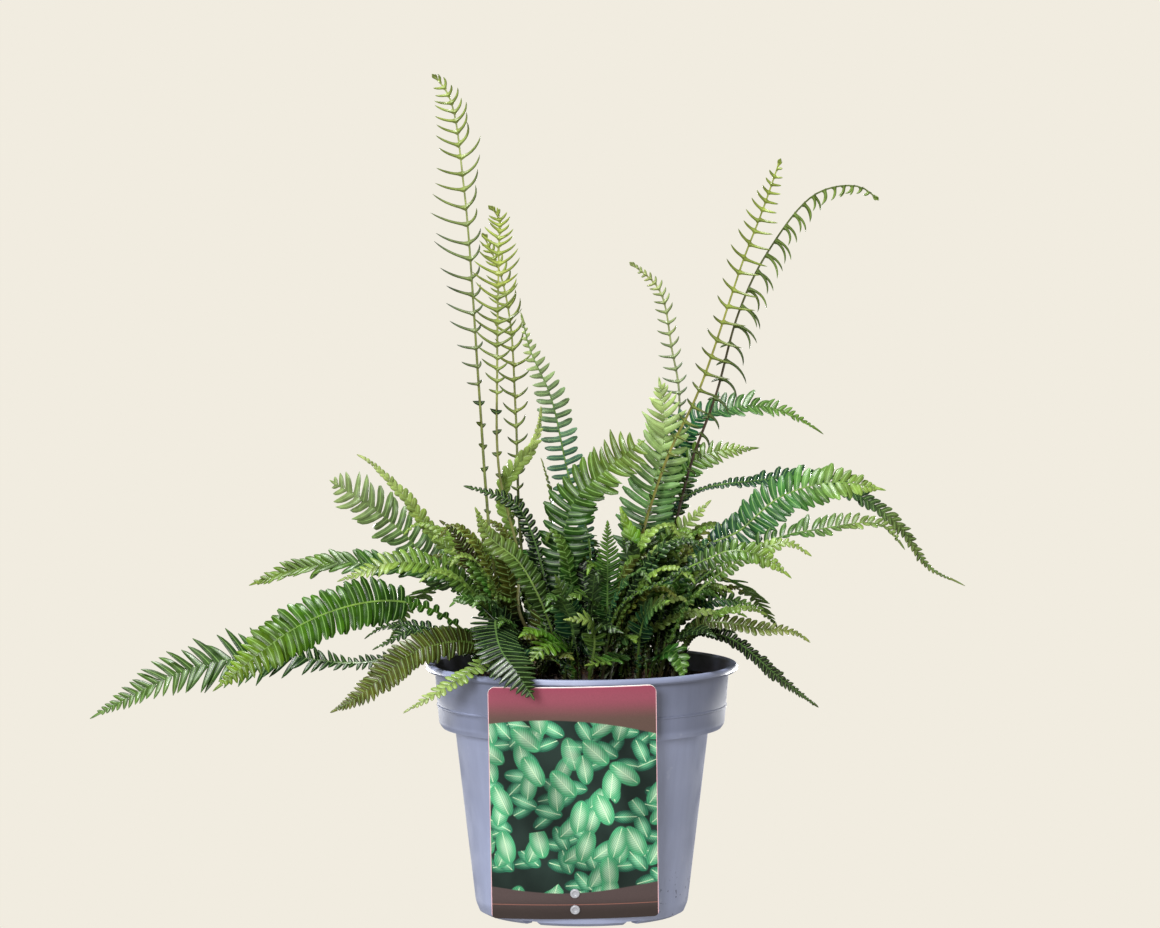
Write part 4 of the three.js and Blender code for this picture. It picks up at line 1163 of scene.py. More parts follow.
        path=((-44, 165, 60), (-66, 180, 84), (-90, 172, 112), (-105, 150, 130))),
    LeafyFrond("frond_back_2", 1, 95, Tone.DEEP, half=12, bare=0.2, face=(0, 0, 1),
        path=((-28, 175, 66), (-34, 198, 96), (-38, 190, 130), (-40, 166, 158))),
    LeafyFrond("frond_back_3", 1, 62, Tone.MID, half=12, bare=0.2, face=(0, 0, 1),
        path=((-12, 180, 60), (-6, 205, 88), (0, 200, 120), (4, 176, 150))),
    LeafyFrond("frond_back_4", 4, 95, Tone.FRESH, half=12, bare=0.2, face=(0, 0, 1),
        path=((28, 178, 66), (32, 200, 96), (36, 190, 130), (38, 165, 156))),
    LeafyFrond("frond_back_5", 4, 62, Tone.MID, half=12, bare=0.2, face=(0, 0, 1),
        path=((46, 170, 58), (64, 185, 82), (88, 178, 104), (108, 155, 124))),
    LeafyFrond("frond_back_6", 4, 130, Tone.DEEP, half=10, bare=0.2, face=(0, 0, 1),
        path=((13, 158, 60), (12, 166, 90), (13, 152, 126))),
    FertileFrond("fertile_1", 1, 240, Tone.DARK, half=19, bare=0.48, pairs=17,
        stalk_tip=linear(190, 206, 110), stalk=linear(136, 150, 76), high=linear(176, 196, 96),
        low=linear(92, 108, 98),
        path=((-40, 165, 16), (-48, 190, 14), (-52, 229, 14), (-56, 288, 14), (-64, 397, 14),
              (-72, 446, 15), (-82, 459, 15))),
    FertileFrond("fertile_2", 0, 20, Tone.OLIVE, half=16, bare=0.6, stalk_tip=linear(200, 216, 110),
        stalk=linear(146, 150, 80), sweep_left=10, hook=32, sweep_right=8, hook_right=44, right_share=0.85,
        low=linear(128, 146, 80), high=linear(196, 216, 96),
        path=((-34, 165, -6), (-34, 193, -4), (-45, 242, -3), (-46, 300, -3), (-45, 365, -3),
              (-45, 380, -4), (-51, 387, -5))),
    FertileFrond("fertile_3", 1, 20, Tone.OLIVE, half=14, bare=0.42, pairs=16,
        stalk_tip=linear(200, 216, 110), stalk=linear(130, 140, 84), ramp=1.0, sweep_left=10, hook=40,
        hook_right=60, right_share=1.0, low=linear(96, 116, 74), high=linear(196, 216, 100),
        path=((-24, 165, 34), (-32, 193, 36), (-36, 275, 37), (-39, 324, 37), (-45, 352, 37),
              (-54, 372, 37))),
    FertileFrond("fertile_4", 4, 28, Tone.PALE, half=8, bare=0.48, pairs=17, stalk_tip=linear(196, 210, 130),
        right_share=0.7, hook_right=50, hook=32, sweep_left=0, low=linear(150, 172, 150),
        high=linear(196, 214, 140), stalk=linear(176, 190, 150), ring=17,
        path=((45, 165, 46), (47, 193, 55), (53, 283, 60), (49, 308, 60), (42, 341, 60), (26, 356, 60))),
    FertileFrond("fertile_5", 3, 140, Tone.OLIVE, half=14, bare=0.38, pairs=18,
        stalk_tip=linear(196, 212, 96), left_share=0.5, hook=36, sweep_left=2, sweep_right=-6, hook_right=14,
        right_share=0.95, stalk=linear(160, 158, 70), low=linear(84, 98, 60), high=linear(186, 208, 90),
        path=((28, 165, -2), (30, 194, 0), (46, 248, 2), (64, 287, 2), (88, 358, 2), (98, 384, 2),
              (108, 413, 2))),
    FertileFrond("fertile_6", 4, 320, Tone.DARK, half=14, bare=0.35, pairs=19, sweep_right=4, left_share=0.4,
        hook=-30, hang=0.42, sweep_left=-20, hook_right=-78, right_share=1.15, stalk=linear(84, 66, 52),
        stalk_tip=linear(120, 140, 72), low=linear(66, 76, 60), high=linear(150, 180, 80),
        path=((42, 175, 22), (51, 213, 22), (60, 248, 22), (73, 284, 22), (85, 328, 22), (100, 360, 22),
              (127, 393, 22), (150, 397, 22), (162, 389, 22))),
)


class Shader:
    """A material and its node tree, with short calls that add and join nodes."""

    def __init__(self, name: str) -> None:
        """Start a material with one principled surface.

        Args:
            name: The material's name.
        """
        self.material = bpy.data.materials.new(name)
        self.material.use_nodes = True
        self.nodes = self.material.node_tree.nodes
        self.links = self.material.node_tree.links
        self.nodes.clear()
        self.surface = self.nodes.new("ShaderNodeBsdfPrincipled")
        end = self.nodes.new("ShaderNodeOutputMaterial")
        self.links.new(self.surface.outputs["BSDF"], end.inputs["Surface"])

    def add(self, kind: str, **settings: object) -> bpy.types.Node:
        """Add a node and set its properties.

        Args:
            kind: The node's type, without its prefix.
            settings: Properties by name.

        Returns:
            The node.
        """
        node = self.nodes.new("ShaderNode" + kind)
        for key, value in settings.items():
            setattr(node, key, value)
        return node

    def feed(self, socket: Socket, value: object) -> None:
        """Join an output to a socket, or set the socket to a constant.

        Args:
            socket: The socket.
            value: The output or the constant.
        """
        if isinstance(value, Socket):
            self.links.new(value, socket)
        else:
            socket.default_value = value

    def set(self, name: str, value: object) -> None:
        """Set an input of the surface to an output or a constant."""
        self.feed(self.surface.inputs[name], value)

    def split(self, vector: Socket) -> Sequence[Socket]:
        """Split an output into its three parts.

        Args:
            vector: The output.

        Returns:
            The outputs of its X, Y and Z.
        """
        node = self.add("SeparateXYZ")
        self.feed(node.inputs[0], vector)
        return node.outputs[:3]

    def math(self, operation: str, first: object, second: object = 0.0) -> Socket:
        """Join a math node.

        Args:
            operation: Blender's name of the operation.
            first: The first number or output.
            second: The second number or output.

        Returns:
            The result's output.
        """
        node = self.add("Math", operation=operation)
        self.feed(node.inputs[0], first)
        self.feed(node.inputs[1], second)
        return node.outputs[0]

    def step(self, value: object, low: float, high: float, start: float = 0.0, end: float = 1.0) -> Socket:
        """Ease a value from one number to another.

        Args:
            value: The value.
            low: Where the easing begins.
            high: Where it ends.
            start: The result up to low.
            end: The result from high on.

        Returns:
            The result's output.
        """
        node = self.add("MapRange", interpolation_type="SMOOTHSTEP")
        for socket, number in zip(node.inputs[:5], (value, low, high, start, end)):
            self.feed(socket, number)
        return node.outputs[0]

    def noise(self, coords: Socket, scale: float, detail: float = 3.0) -> Socket:
        """Add a noise.

        Args:
            coords: The coordinates that it is read at.
            scale: Its swings in a metre.
            detail: How many finer layers it has.

        Returns:
            Its output, 0 to 1.
        """
        node = self.add("TexNoise")
        self.feed(node.inputs["Vector"], coords)
        self.feed(node.inputs["Scale"], scale)
        self.feed(node.inputs["Detail"], detail)
        return node.outputs["Fac"]

    def mix(self, share: object, first: object, second: object, blend_type: str = "MIX") -> Socket:
        """Mix two colours.

        Args:
            share: The share of the second colour.
            first: The first colour or output.
            second: The second colour or output.
            blend_type: Blender's name of the way to mix.

        Returns:
            The mixed colour's output.
        """
        node = self.add("Mix", data_type="RGBA", blend_type=blend_type)
        self.feed(node.inputs[0], share)
        self.feed(node.inputs[6], first)
        self.feed(node.inputs[7], second)
        return node.outputs[2]

    def bump(self, height: Socket, distance: float, strength: float) -> None:
        """Give the surface a relief.

        Args:
            height: The relief.
            distance: Its depth in metres.
            strength: How much of it shows.
        """
        node = self.add("Bump")
        self.feed(node.inputs["Height"], height)
        self.feed(node.inputs["Distance"], distance)
        self.feed(node.inputs["Strength"], strength)
        self.links.new(node.outputs["Normal"], self.surface.inputs["Normal"])

    def objects(self) -> Socket:
        """Give the object coordinates, in metres."""
        return self.add("TexCoord").outputs["Object"]

    def attribute(self, name: str) -> bpy.types.Node:
        """Give the node of a mesh attribute."""
        return self.add("Attribute", attribute_name=name)


@dataclass(frozen=True)
class LeafFinish:
    """Leathery leaf: mottled green with a pale midvein, fine side veins and a soft gloss."""

    roughness: float = 0.27
    vein_light: float = 0.5
    side_veins: float = 13.0

    def material(self) -> Material:
        """Make the material, with its green from the tint and its veins from the leaf map.

        Returns:
            The material.
        """
        shader = Shader("leaf")
        tint = shader.attribute("tint").outputs["Color"]
        place = shader.objects()
        along, across, _ = shader.split(shader.add("UVMap", uv_map="leaf_map").outputs[0])
        off = shader.math("ABSOLUTE", shader.math("SUBTRACT", across, 0.5))
        mottle = shader.step(shader.noise(place, 160.0, 4.0), 0.25, 0.75, 0.18, 0.36)
        colour = shader.mix(1.0, tint, mottle, "MULTIPLY")
        patches = shader.step(shader.noise(place, 34.0), 0.52, 0.72, 0.0, 0.28)
        colour = shader.mix(patches, colour, shader.mix(1.0, colour, (1.5, 1.18, 0.7, 1), "MULTIPLY"))
        vein = shader.step(off, 0.02, 0.085, self.vein_light, 0.0)
        colour = shader.mix(vein, colour, shader.mix(0.5, colour, linear(150, 190, 110)))
        phase = shader.math("ADD", shader.math("MULTIPLY", along, self.side_veins),
                            shader.math("MULTIPLY", off, -5.0))
        ripple = shader.math("SINE", shader.math("MULTIPLY", phase, math.tau))
        colour = shader.mix(0.5, colour, shader.step(ripple, -1, 1, 0.84, 1.1), "MULTIPLY")
        margin = shader.step(off, 0.40, 0.5, 1.0, 0.80)
        colour = shader.mix(1.0, colour, margin, "MULTIPLY")
        shader.set("Base Color", colour)
        rough = shader.step(shader.noise(place, 260.0), 0.2, 0.8, self.roughness - 0.08,
                            self.roughness + 0.16)
        shader.set("Roughness", rough)
        shader.set("Specular IOR Level", 0.17)
        height = shader.math("ADD", shader.math("MULTIPLY", ripple, 0.22), shader.noise(place, 700.0))
        shader.bump(shader.math("SUBTRACT", height, vein), 0.0002, 0.2)
        return shader.material


@dataclass(frozen=True)
class CompostFinish:
    """Damp peat: nearly black and matt, with its tint from the mesh."""

    def material(self) -> Material:
        """Make the material.

        Returns:
            The material.
        """
        shader = Shader("compost")
        place = shader.objects()
        tint = shader.attribute("tint").outputs["Color"]
        grain = shader.step(shader.noise(place, 900.0, 6.0), 0.3, 0.75, 0.45, 1.9)
        colour = shader.mix(1.0, tint, grain, "MULTIPLY")
        fibres = shader.step(shader.noise(place, 2400.0, 2.0), 0.68, 0.78, 0.0, 0.35)
        colour = shader.mix(fibres, colour, linear(96, 66, 42))
        shader.set("Base Color", colour)
        shader.set("Roughness", 0.92)
        shader.set("Specular IOR Level", 0.25)
        shader.bump(shader.noise(place, 1400.0, 8.0), 0.0009, 0.9)
        return shader.material


@dataclass(frozen=True)
class BarkFinish:
    """Rough brown rhizome and its papery scales."""

    def material(self) -> Material:
        """Make the material.

        Returns:
            The material.
        """
        shader = Shader("rhizome")
        place = shader.objects()
        tint = shader.attribute("tint").outputs["Color"]
        grain = shader.step(shader.noise(place, 600.0, 5.0), 0.25, 0.75, 0.6, 1.5)
        shader.set("Base Color", shader.mix(1.0, tint, grain, "MULTIPLY"))
        shader.set("Roughness", 0.8)
        shader.bump(shader.noise(place, 1200.0, 5.0), 0.0004, 0.7)
        return shader.material


@dataclass(frozen=True)
class PotFinish:
    """Moulded blue-grey plastic: satin, faintly cloudy, with scuffs, flow lines, specks of soil, and painted
    shade on the collar and the inner wall.
    """

    colour: Colour = linear(136, 144, 173)
    roughness: float = 0.40

    def material(self) -> Material:
        """Make the material, whose stain_and_shade attribute marks the inner wall, darkened by soil smears
        and painted shade.

        Returns:
            The material.
        """
        shader = Shader("pot_plastic")
        place = shader.objects()
        x, _, z = shader.split(place)
        cloud = shader.step(shader.noise(place, 22.0, 4.0), 0.3, 0.7, 0.93, 1.06)
        colour = shader.mix(1.0, self.colour, cloud, "MULTIPLY")
        squeeze = shader.add("Mapping")
        squeeze.inputs["Scale"].default_value = (1.0, 1.0, 0.06)
        shader.feed(squeeze.inputs["Vector"], place)
        streak = shader.step(shader.noise(squeeze.outputs[0], 240.0, 3.0), 0.35, 0.65, 0.975, 1.02)
        colour = shader.mix(1.0, colour, streak, "MULTIPLY")
        # Painted shade: the collar above the body is darkened, standing in for the shadow that the foliage
        # casts on it.
        colour = shader.mix(1.0, colour, shader.step(z, 0.101, 0.108, 1.0, 0.57), "MULTIPLY")
        scuff = shader.step(shader.noise(place, 120.0, 9.0), 0.66, 0.74, 0.0, 0.16)
        colour = shader.mix(scuff, colour, linear(176, 180, 196))
        # Soil smears and painted shade: the inner wall is darkened to a dull grey, standing in for the shade
        # inside the pot.
        stain_and_shade = shader.attribute("stain_and_shade").outputs["Fac"]
        smear = shader.step(shader.noise(place, 60.0, 6.0), 0.25, 0.7, 0.6, 1.0)
        dirt_and_shade = shader.math("MULTIPLY", stain_and_shade, smear)
        colour = shader.mix(dirt_and_shade, colour, linear(60, 57, 62))
        low = shader.step(z, 0.006, 0.034, 1.0, 0.0)
        right = shader.step(x, 0.028, 0.05, 0.0, 1.0)
        specks = shader.step(shader.noise(place, 420.0, 1.0), 0.70, 0.73, 0.0, 1.0)
        mask = shader.math("MULTIPLY", shader.math("MULTIPLY", low, right), specks)
        colour = shader.mix(mask, colour, linear(34, 26, 22))
        shader.set("Base Color", colour)
        rough = shader.step(shader.noise(place, 70.0, 5.0), 0.25, 0.75, self.roughness - 0.06,
                            self.roughness + 0.12)
        shader.set("Roughness", rough)
        relief = shader.math("ADD", shader.noise(place, 900.0, 3.0), shader.math("MULTIPLY", dirt_and_shade, 3.0))
        shader.bump(relief, 0.00006, 0.5)
        return shader.material


@dataclass(frozen=True)
class PlainPlastic:
    """A plain moulded plastic with a fine grain."""

    name: str
    colour: Colour
    roughness: float

    def material(self) -> Material:
        """Make the material.

        Returns:
            The material.
        """
        shader = Shader(self.name)
        place = shader.objects()
        cloud = shader.step(shader.noise(place, 260.0), 0.3, 0.7, 0.93, 1.05)
        shader.set("Base Color", shader.mix(1.0, self.colour, cloud, "MULTIPLY"))
        rough = shader.step(shader.noise(place, 500.0), 0.2, 0.8, self.roughness - 0.05, self.roughness + 0.1)
        shader.set("Roughness", rough)
        shader.bump(shader.noise(place, 1600.0), 0.00004, 0.4)
        return shader.material


@dataclass(frozen=True)
class PrintFinish:
    """The label's printed face: a crimson head, a field of rounded leaves and a brown foot band.

    Each layer of leaves has its own scale and turn, the colour of its leaves' rims and that of their hearts.
    """

    crimson: Colour = linear(129, 64, 80)
    mauve: Colour = linear(84, 66, 60)
    brown: Colour = linear(73, 61, 61)
    night: Colour = linear(30, 44, 40)
    layers: tuple[tuple[float, float, Colour, Colour], ...] = (
        (10.0, 1.3, linear(30, 88, 68), linear(88, 160, 122)),
        (9.2, -0.9, linear(40, 118, 86), linear(124, 192, 152)),
        (8.1, 0.35, linear(56, 142, 100), linear(150, 192, 160)),
        (7.3, -0.3, linear(66, 154, 108), linear(158, 198, 166)))

    def material(self) -> Material:
        """Make the material over the label map, 0 to 1 across and up.

        Returns:
            The material.
        """
        shader = Shader("label_print")
        chart = shader.add("UVMap", uv_map="leaf_map").outputs[0]
        across, up, _ = shader.split(chart)
        colour = self.leaves(shader, chart)
        arch = shader.math("MULTIPLY", shader.math("POWER", shader.math("ABSOLUTE", shader.math(
            "SUBTRACT", across, 0.34)), 2.0), 0.16)
        head = shader.mix(shader.step(up, 0.85, 0.955), self.mauve, self.crimson)
        head = shader.mix(shader.step(up, 0.955, 1.0, 0.0, 0.25), head, linear(140, 40, 76))
        colour = shader.mix(shader.step(shader.math("ADD", up, arch), 0.856, 0.862), colour, head)
        foot = shader.mix(shader.step(up, 0.02, 0.10), linear(52, 44, 42), self.brown)
        wave = shader.math("MULTIPLY", shader.math("SINE", shader.math("MULTIPLY", across, 3.6)), 0.028)
        colour = shader.mix(shader.step(shader.math("ADD", up, wave), 0.142, 0.137), colour, foot)
        line = shader.step(shader.math("ABSOLUTE", shader.math("SUBTRACT", up, 0.062)), 0.0012, 0.0022,
                           0.55, 0.0)
        colour = shader.mix(line, colour, linear(150, 96, 84))
        rim = shader.math("MAXIMUM", shader.step(shader.math("ABSOLUTE", shader.math(
            "SUBTRACT", across, 0.5)), 0.495, 0.4965), shader.step(up, 0.9962, 0.9972))
        colour = shader.mix(rim, colour, linear(200, 160, 168))
        grain = shader.step(shader.noise(shader.objects(), 1800.0, 2.0), 0.3, 0.7, 0.94, 1.06)
        shader.set("Base Color", shader.mix(1.0, colour, grain, "MULTIPLY"))
        shader.set("Roughness", 0.34)
        shader.bump(shader.noise(shader.objects(), 90.0), 0.00012, 0.35)
        return shader.material

    def leaves(self, shader: Shader, chart: Socket) -> Socket:
        """Draw layers of rounded leaves, each turned its own way, with a midvein and a pale heart.

        Args:
            shader: The label's shader.
            chart: The label map.

        Returns:
            The field's colour.
        """
        square = shader.add("Mapping")
        square.inputs["Scale"].default_value = (0.685, 1.0, 1.0)
        shader.feed(square.inputs["Vector"], chart)
        colour = self.night
        for scale, turn, dark, pale in self.layers:
            cells = shader.add("TexVoronoi", voronoi_dimensions="2D", feature="F1")
            for key, value in (("Vector", square.outputs[0]), ("Scale", scale), ("Randomness", 0.85)):
                shader.feed(cells.inputs[key], value)
            local = shader.add("VectorMath", operation="SUBTRACT")
            shader.feed(local.inputs[0], square.outputs[0])
            shader.feed(local.inputs[1], cells.outputs["Position"])
            swing_draw, kept_draw, _ = shader.split(cells.outputs["Color"])
            swing = shader.add("VectorRotate", rotation_type="Z_AXIS")
            shader.feed(swing.inputs["Vector"], local.outputs[0])
            shader.feed(swing.inputs["Angle"], shader.step(swing_draw, 0.0, 1.0, turn - 0.6, turn + 0.6))
            side, way, _ = shader.split(swing.outputs[0])
            beside = shader.math("ABSOLUTE", side)
            ahead = shader.math("ABSOLUTE", way)
            near = shader.math("SQRT", shader.math("ADD", shader.math(
                "POWER", shader.math("MULTIPLY", beside, 1.9 * scale), 2.0), shader.math(
                "POWER", shader.math("MULTIPLY", ahead, scale), 2.0)))
            barbs = shader.math("SUBTRACT", way, beside)
            stripes = shader.step(shader.math("SINE", shader.math("MULTIPLY", barbs, 620.0)), -0.6, 0.9,
                                  0.66, 1.1)
            leaf = shader.mix(shader.step(near, 0.08, 0.5), pale, dark)
            leaf = shader.mix(1.0, leaf, stripes, "MULTIPLY")
            vein = shader.math("MULTIPLY", shader.step(beside, 0.001, 0.0026, 0.8, 0.0),
                               shader.step(near, 0.44, 0.5, 1.0, 0.0))
            leaf = shader.mix(vein, leaf, linear(186, 212, 176))
            kept = shader.step(kept_draw, 0.24, 0.25)
            cover = shader.math("MULTIPLY", kept, shader.step(near, 0.50, 0.56, 1.0, 0.0))
            colour = shader.mix(cover, colour, leaf)
        shade = shader.step(shader.noise(chart, 3.2, 2.0), 0.35, 0.65, 0.55, 1.2)
        return shader.mix(1.0, colour, shade, "MULTIPLY")


@dataclass(frozen=True)
class StudioFinish:
    """The pale studio floor, which glows evenly and keeps no shadow."""

    colour: Colour = linear(241, 236, 224)
    glow: float = 1.0

    def material(self) -> Material:
        """Make the material.

        Returns:
            The material.
        """
        shader = Shader("studio_floor")
        shader.set("Base Color", (0, 0, 0, 1))
        shader.set("Emission Color", self.colour)
        shader.set("Emission Strength", self.glow)
        shader.set("Roughness", 1.0)
        shader.set("Specular IOR Level", 0.0)
        return shader.material


@dataclass
class Pot:
    """The nursery pot: one thin turned shell with a rolled lip, a collar, a body and a foot.

    A pair is a radius and a height. Each drain hole has its notch in the foot ring.
    """

    wall: float = 1.5
    sides: int = 128
    foot_pad: float = 16.0
    foot_ring: float = 46.0
    foot_rise: float = 3.4
    foot: float = 52.0
    body_low: Pair = (58.0, 7.0)
    body_high: Pair = (69.0, 101.0)
    collar_low: Pair = (77.8, 104.8)
    collar_high: Pair = (80.4, 133.4)
    collar_line: float = 114.6
    lip: float = 85.0
    height: float = 137.4
    drains: int = 6
    drain_hole: float = 4.0
    drain_at: float = 34.0
    drain_deep: float = 12.0
    notch: Triple = (20.0, 9.0, 4.8)

    def outside(self) -> list[Pair]:
        """List the outer profile.

        Returns:
            Radius and height of its corners, from the foot's middle to the lip's top.
        """
        low, high = self.body_low, self.body_high
        collar, top = self.collar_low, self.collar_high
        line = self.collar_line
        slope = (top[0] - collar[0]) / (top[1] - collar[1])
        at_line = collar[0] + slope * (line - collar[1])
        return [
            (0, 0), (self.foot_pad, 0), (self.foot_pad, self.foot_rise),
            (self.foot_ring, self.foot_rise), (self.foot_ring, 0), (self.foot, 0), (self.foot + 4, 2),
            (low[0], low[1]), (high[0], high[1] - 0.4), (high[0] + 0.6, high[1] + 0.6),
            (collar[0] - 1.6, high[1] + 1.6), (collar[0], collar[1]),
            (at_line - 0.02, line - 0.7), (at_line + 0.45, line - 0.35), (at_line + 0.5, line + 0.35),
            (at_line + 0.1, line + 0.8), (top[0] - 0.3, top[1] - 1), (top[0] + 0.4, top[1]),
            (self.lip - 1.0, top[1] + 0.2), (self.lip, top[1] + 1.2), (self.lip, self.height - 1.4),
            (self.lip - 0.8, self.height - 0.3), (self.lip - 2.2, self.height),
        ]

    def inside(self) -> list[Pair]:
        """List the inner profile.

        Returns:
            Radius and height of its corners, from the lip down to the middle of the floor.
        """
        low, high = self.body_low, self.body_high
        collar, top = self.collar_low, self.collar_high
        return [
            (top[0] - 0.6, self.height - 1), (top[0] - self.wall, top[1] - 2),
            (collar[0] - self.wall, collar[1] + 0.8), (collar[0] - 3.4, high[1] + 3),
            (high[0] - self.wall, high[1] + 1.2), (low[0] - self.wall, low[1] + 0.6),
            (self.foot, self.foot_rise + self.wall), (0, self.foot_rise + self.wall),
        ]

    def build(self, finish: Material) -> Piece:
        """Build the pot.

        Args:
            finish: The pot's material.

        Returns:
            The finished piece.
        """
        work = Workpiece()
        low, collar, top = self.body_low, self.collar_low, self.collar_high
        work.turn(self.outside() + self.inside(), self.sides, (
            (low[0], low[1], 1.6), (self.foot, 0, 0.8), (self.foot_ring, 0, 0.6), (collar[0], collar[1], 0.9),
            (top[0] - 0.6, self.height - 1, 0.5)))
        slope = (top[0] - collar[0]) / (top[1] - collar[1])
        # Mark the inner wall above the collar's foot, to be darkened by soil smears and painted shade.
        stain_and_shade = work.bm.verts.layers.float.new("stain_and_shade")
        for vert in work.bm.verts:
            radius, height = vert.co.xy.length, vert.co.z
            inner = collar[0] - 0.4 + (height - collar[1]) * slope
            vert[stain_and_shade] = 1.0 if radius < inner and height > collar[1] + 0.5 else 0.0
        piece = work.finish("nursery_pot", "pot_plastic", [finish], ["pot"], sharp=38)
        self.drill(piece)
        return piece

    def drill(self, piece: Piece) -> None:
        """Cut the drainage holes and the notches of the foot ring.

        Args:
            piece: The pot.
        """
        bm = bmesh.new()
        for k in range(self.drains):
            turn = Matrix.Rotation(k * math.tau / self.drains, 4, "Z")
            bmesh.ops.create_cone(bm, cap_ends=True, segments=24, radius1=self.drain_hole,
                                  radius2=self.drain_hole, depth=self.drain_deep,
                                  matrix=turn @ Matrix.Translation((self.drain_at, 0, self.foot_rise)))
            notch = bmesh.ops.create_cube(bm, size=1)["verts"]
            bmesh.ops.scale(bm, vec=self.notch, verts=notch)
            bmesh.ops.transform(bm, matrix=turn @ Matrix.Translation((self.foot, 0, 0)), verts=notch)
        bmesh.ops.scale(bm, vec=(MM, MM, MM), verts=bm.verts[:])
        mesh = bpy.data.meshes.new("pot_cutters")
        bm.to_mesh(mesh)
        bm.free()
        cutter = bpy.data.objects.new("pot_cutters", mesh)
        bpy.context.scene.collection.objects.link(cutter)
        cut = piece.modifiers.new("drains", "BOOLEAN")
        cut.operation, cut.object, cut.solver = "DIFFERENCE", cutter, "EXACT"
        bake(piece)
        bpy.data.objects.remove(cutter)


def bake(piece: Piece) -> None:
    """Put the result of a piece's modifiers into its mesh.

    Args:
        piece: The piece.
    """
    bpy.context.view_layer.update()
    shown = piece.evaluated_get(bpy.context.evaluated_depsgraph_get())
    mesh = bpy.data.meshes.new_from_object(shown, preserve_all_data_layers=True,
                                           depsgraph=bpy.context.evaluated_depsgraph_get())
    piece.modifiers.clear()
    piece.data = mesh


@dataclass
class Soil:
    """The compost that fills the pot: a lumpy top, straight sides and loose crumbs.

    The side follows the pot's inner wall, just clear of it, down to the middle of the floor.
    """

    edge: float = 76.6
    side: tuple[Pair, ...] = ((75.6, 106.4), (67.1, 102.6), (56.2, 8.0), (51.0, 5.25), (0.0, 5.25))
    rings: int = 34
    turns: int = 100
    lumps: float = 2.2
    crumbs: int = 1300
    crumb_size: Pair = (0.4, 1.2)
    clod_every: int = 9
    clod_size: Pair = (1.1, 2.5)
    bark_every: int = 11
    white_crumbs: int = 16
    white_size: Pair = (0.5, 0.9)
    peat: Colour = linear(24, 19, 17)
    pale_peat: Colour = linear(58, 44, 36)
    bark: Colour = linear(84, 48, 34)
    white: Colour = linear(206, 200, 190)

    def height(self, x: float, y: float) -> float:
        """Give the height of the soil's top.

        Args:
            x: The place across.
            y: The place in depth.

        Returns:
            The height.
        """
        radius = math.hypot(x, y)
        base = SOIL_TOP - SOIL_EDGE_DROP * smooth_step(radius, 48, 80) - 0.6
        swell = noise.noise(Vector((x / 19, y / 19, 3.1))) * 0.9
        lump = (noise.noise(Vector((x / 6, y / 6, 7.7))) * 0.6
                + noise.noise(Vector((x / 2.4, y / 2.4, 1.3))) * 0.35)
        return base + (swell + lump) * self.lumps * 0.55

    def build(self, finish: Material) -> Piece:
        """Build the soil.

        Args:
            finish: The compost material.

        Returns:
            The finished piece.
        """
        work = Workpiece()
        top = [(self.edge * k / self.rings, SOIL_TOP) for k in range(self.rings + 1)]
        work.turn([*top, *self.side], self.turns)
        for vert in work.bm.verts:
            if vert.co.z > SOIL_TOP - 1:
                vert.co.z = self.height(vert.co.x, vert.co.y)
            vert[work.tint] = self.peat
        rng = random.Random("crumbs")
        crumb = self.crumb_mould(1)
        clod = self.crumb_mould(2)
        for k in range(self.crumbs):
            radius = (self.edge - 1.5) * math.sqrt(rng.random())
            angle = rng.uniform(0, math.tau)
            big = k % self.clod_every == 0
            size = rng.uniform(*(self.clod_size if big else self.crumb_size))
            spot = (radius * math.cos(angle), radius * math.sin(angle))
            if k < self.white_crumbs:
                colour, size = self.white, rng.uniform(*self.white_size)
            elif k % self.bark_every == 0:
                colour = blend(self.peat, self.bark, rng.uniform(0.3, 1.0))
            else:
                colour = blend(self.peat, self.pale_peat, rng.random() ** 2)
            self.drop(work, clod if big else crumb, spot, size, colour, rng)
        bpy.data.meshes.remove(crumb)
        bpy.data.meshes.remove(clod)
        return work.finish("compost", "compost", [finish], ["soil"], sharp=180)

    @staticmethod
    def crumb_mould(subdivisions: int) -> bpy.types.Mesh:
        """Make an uneven crumb of about 1 mm.

        Args:
            subdivisions: How finely the ball is split.

        Returns:
            The crumb's mesh.
        """
        bm = bmesh.new()
        bmesh.ops.create_icosphere(bm, subdivisions=subdivisions, radius=1.0)
        for vert in bm.verts:
            vert.co *= 1 + 0.45 * noise.noise(vert.co * 1.7 + Vector((subdivisions, 0, 0)))
        mesh = bpy.data.meshes.new("crumb")
        bm.to_mesh(mesh)
        bm.free()
        return mesh

    def drop(self, work: Workpiece, mould: bpy.types.Mesh, spot: Pair, size: float,
             colour: Colour, rng: random.Random) -> None:
        """Drop one crumb on the soil.

        Args:
            work: The soil's mesh.
            mould: The crumb's mesh.
            spot: Its place in plan.
            size: Its radius.
            colour: Its tint.
            rng: The soil's random draws.
        """
        start = len(work.bm.verts)
        work.bm.from_mesh(mould)
        verts = work.added(start)
        place = Vector((*spot, self.height(*spot) + 0.25 * size))
        turn = Matrix.Rotation(rng.uniform(0, math.tau), 4, (rng.random(), rng.random(), 0.5))
        shape = Matrix.Diagonal((size * rng.uniform(0.8, 1.7), size, size * rng.uniform(0.5, 0.9), 1))
        bmesh.ops.transform(work.bm, matrix=Matrix.Translation(place) @ turn @ shape, verts=verts)
        work.paint(verts, colour)


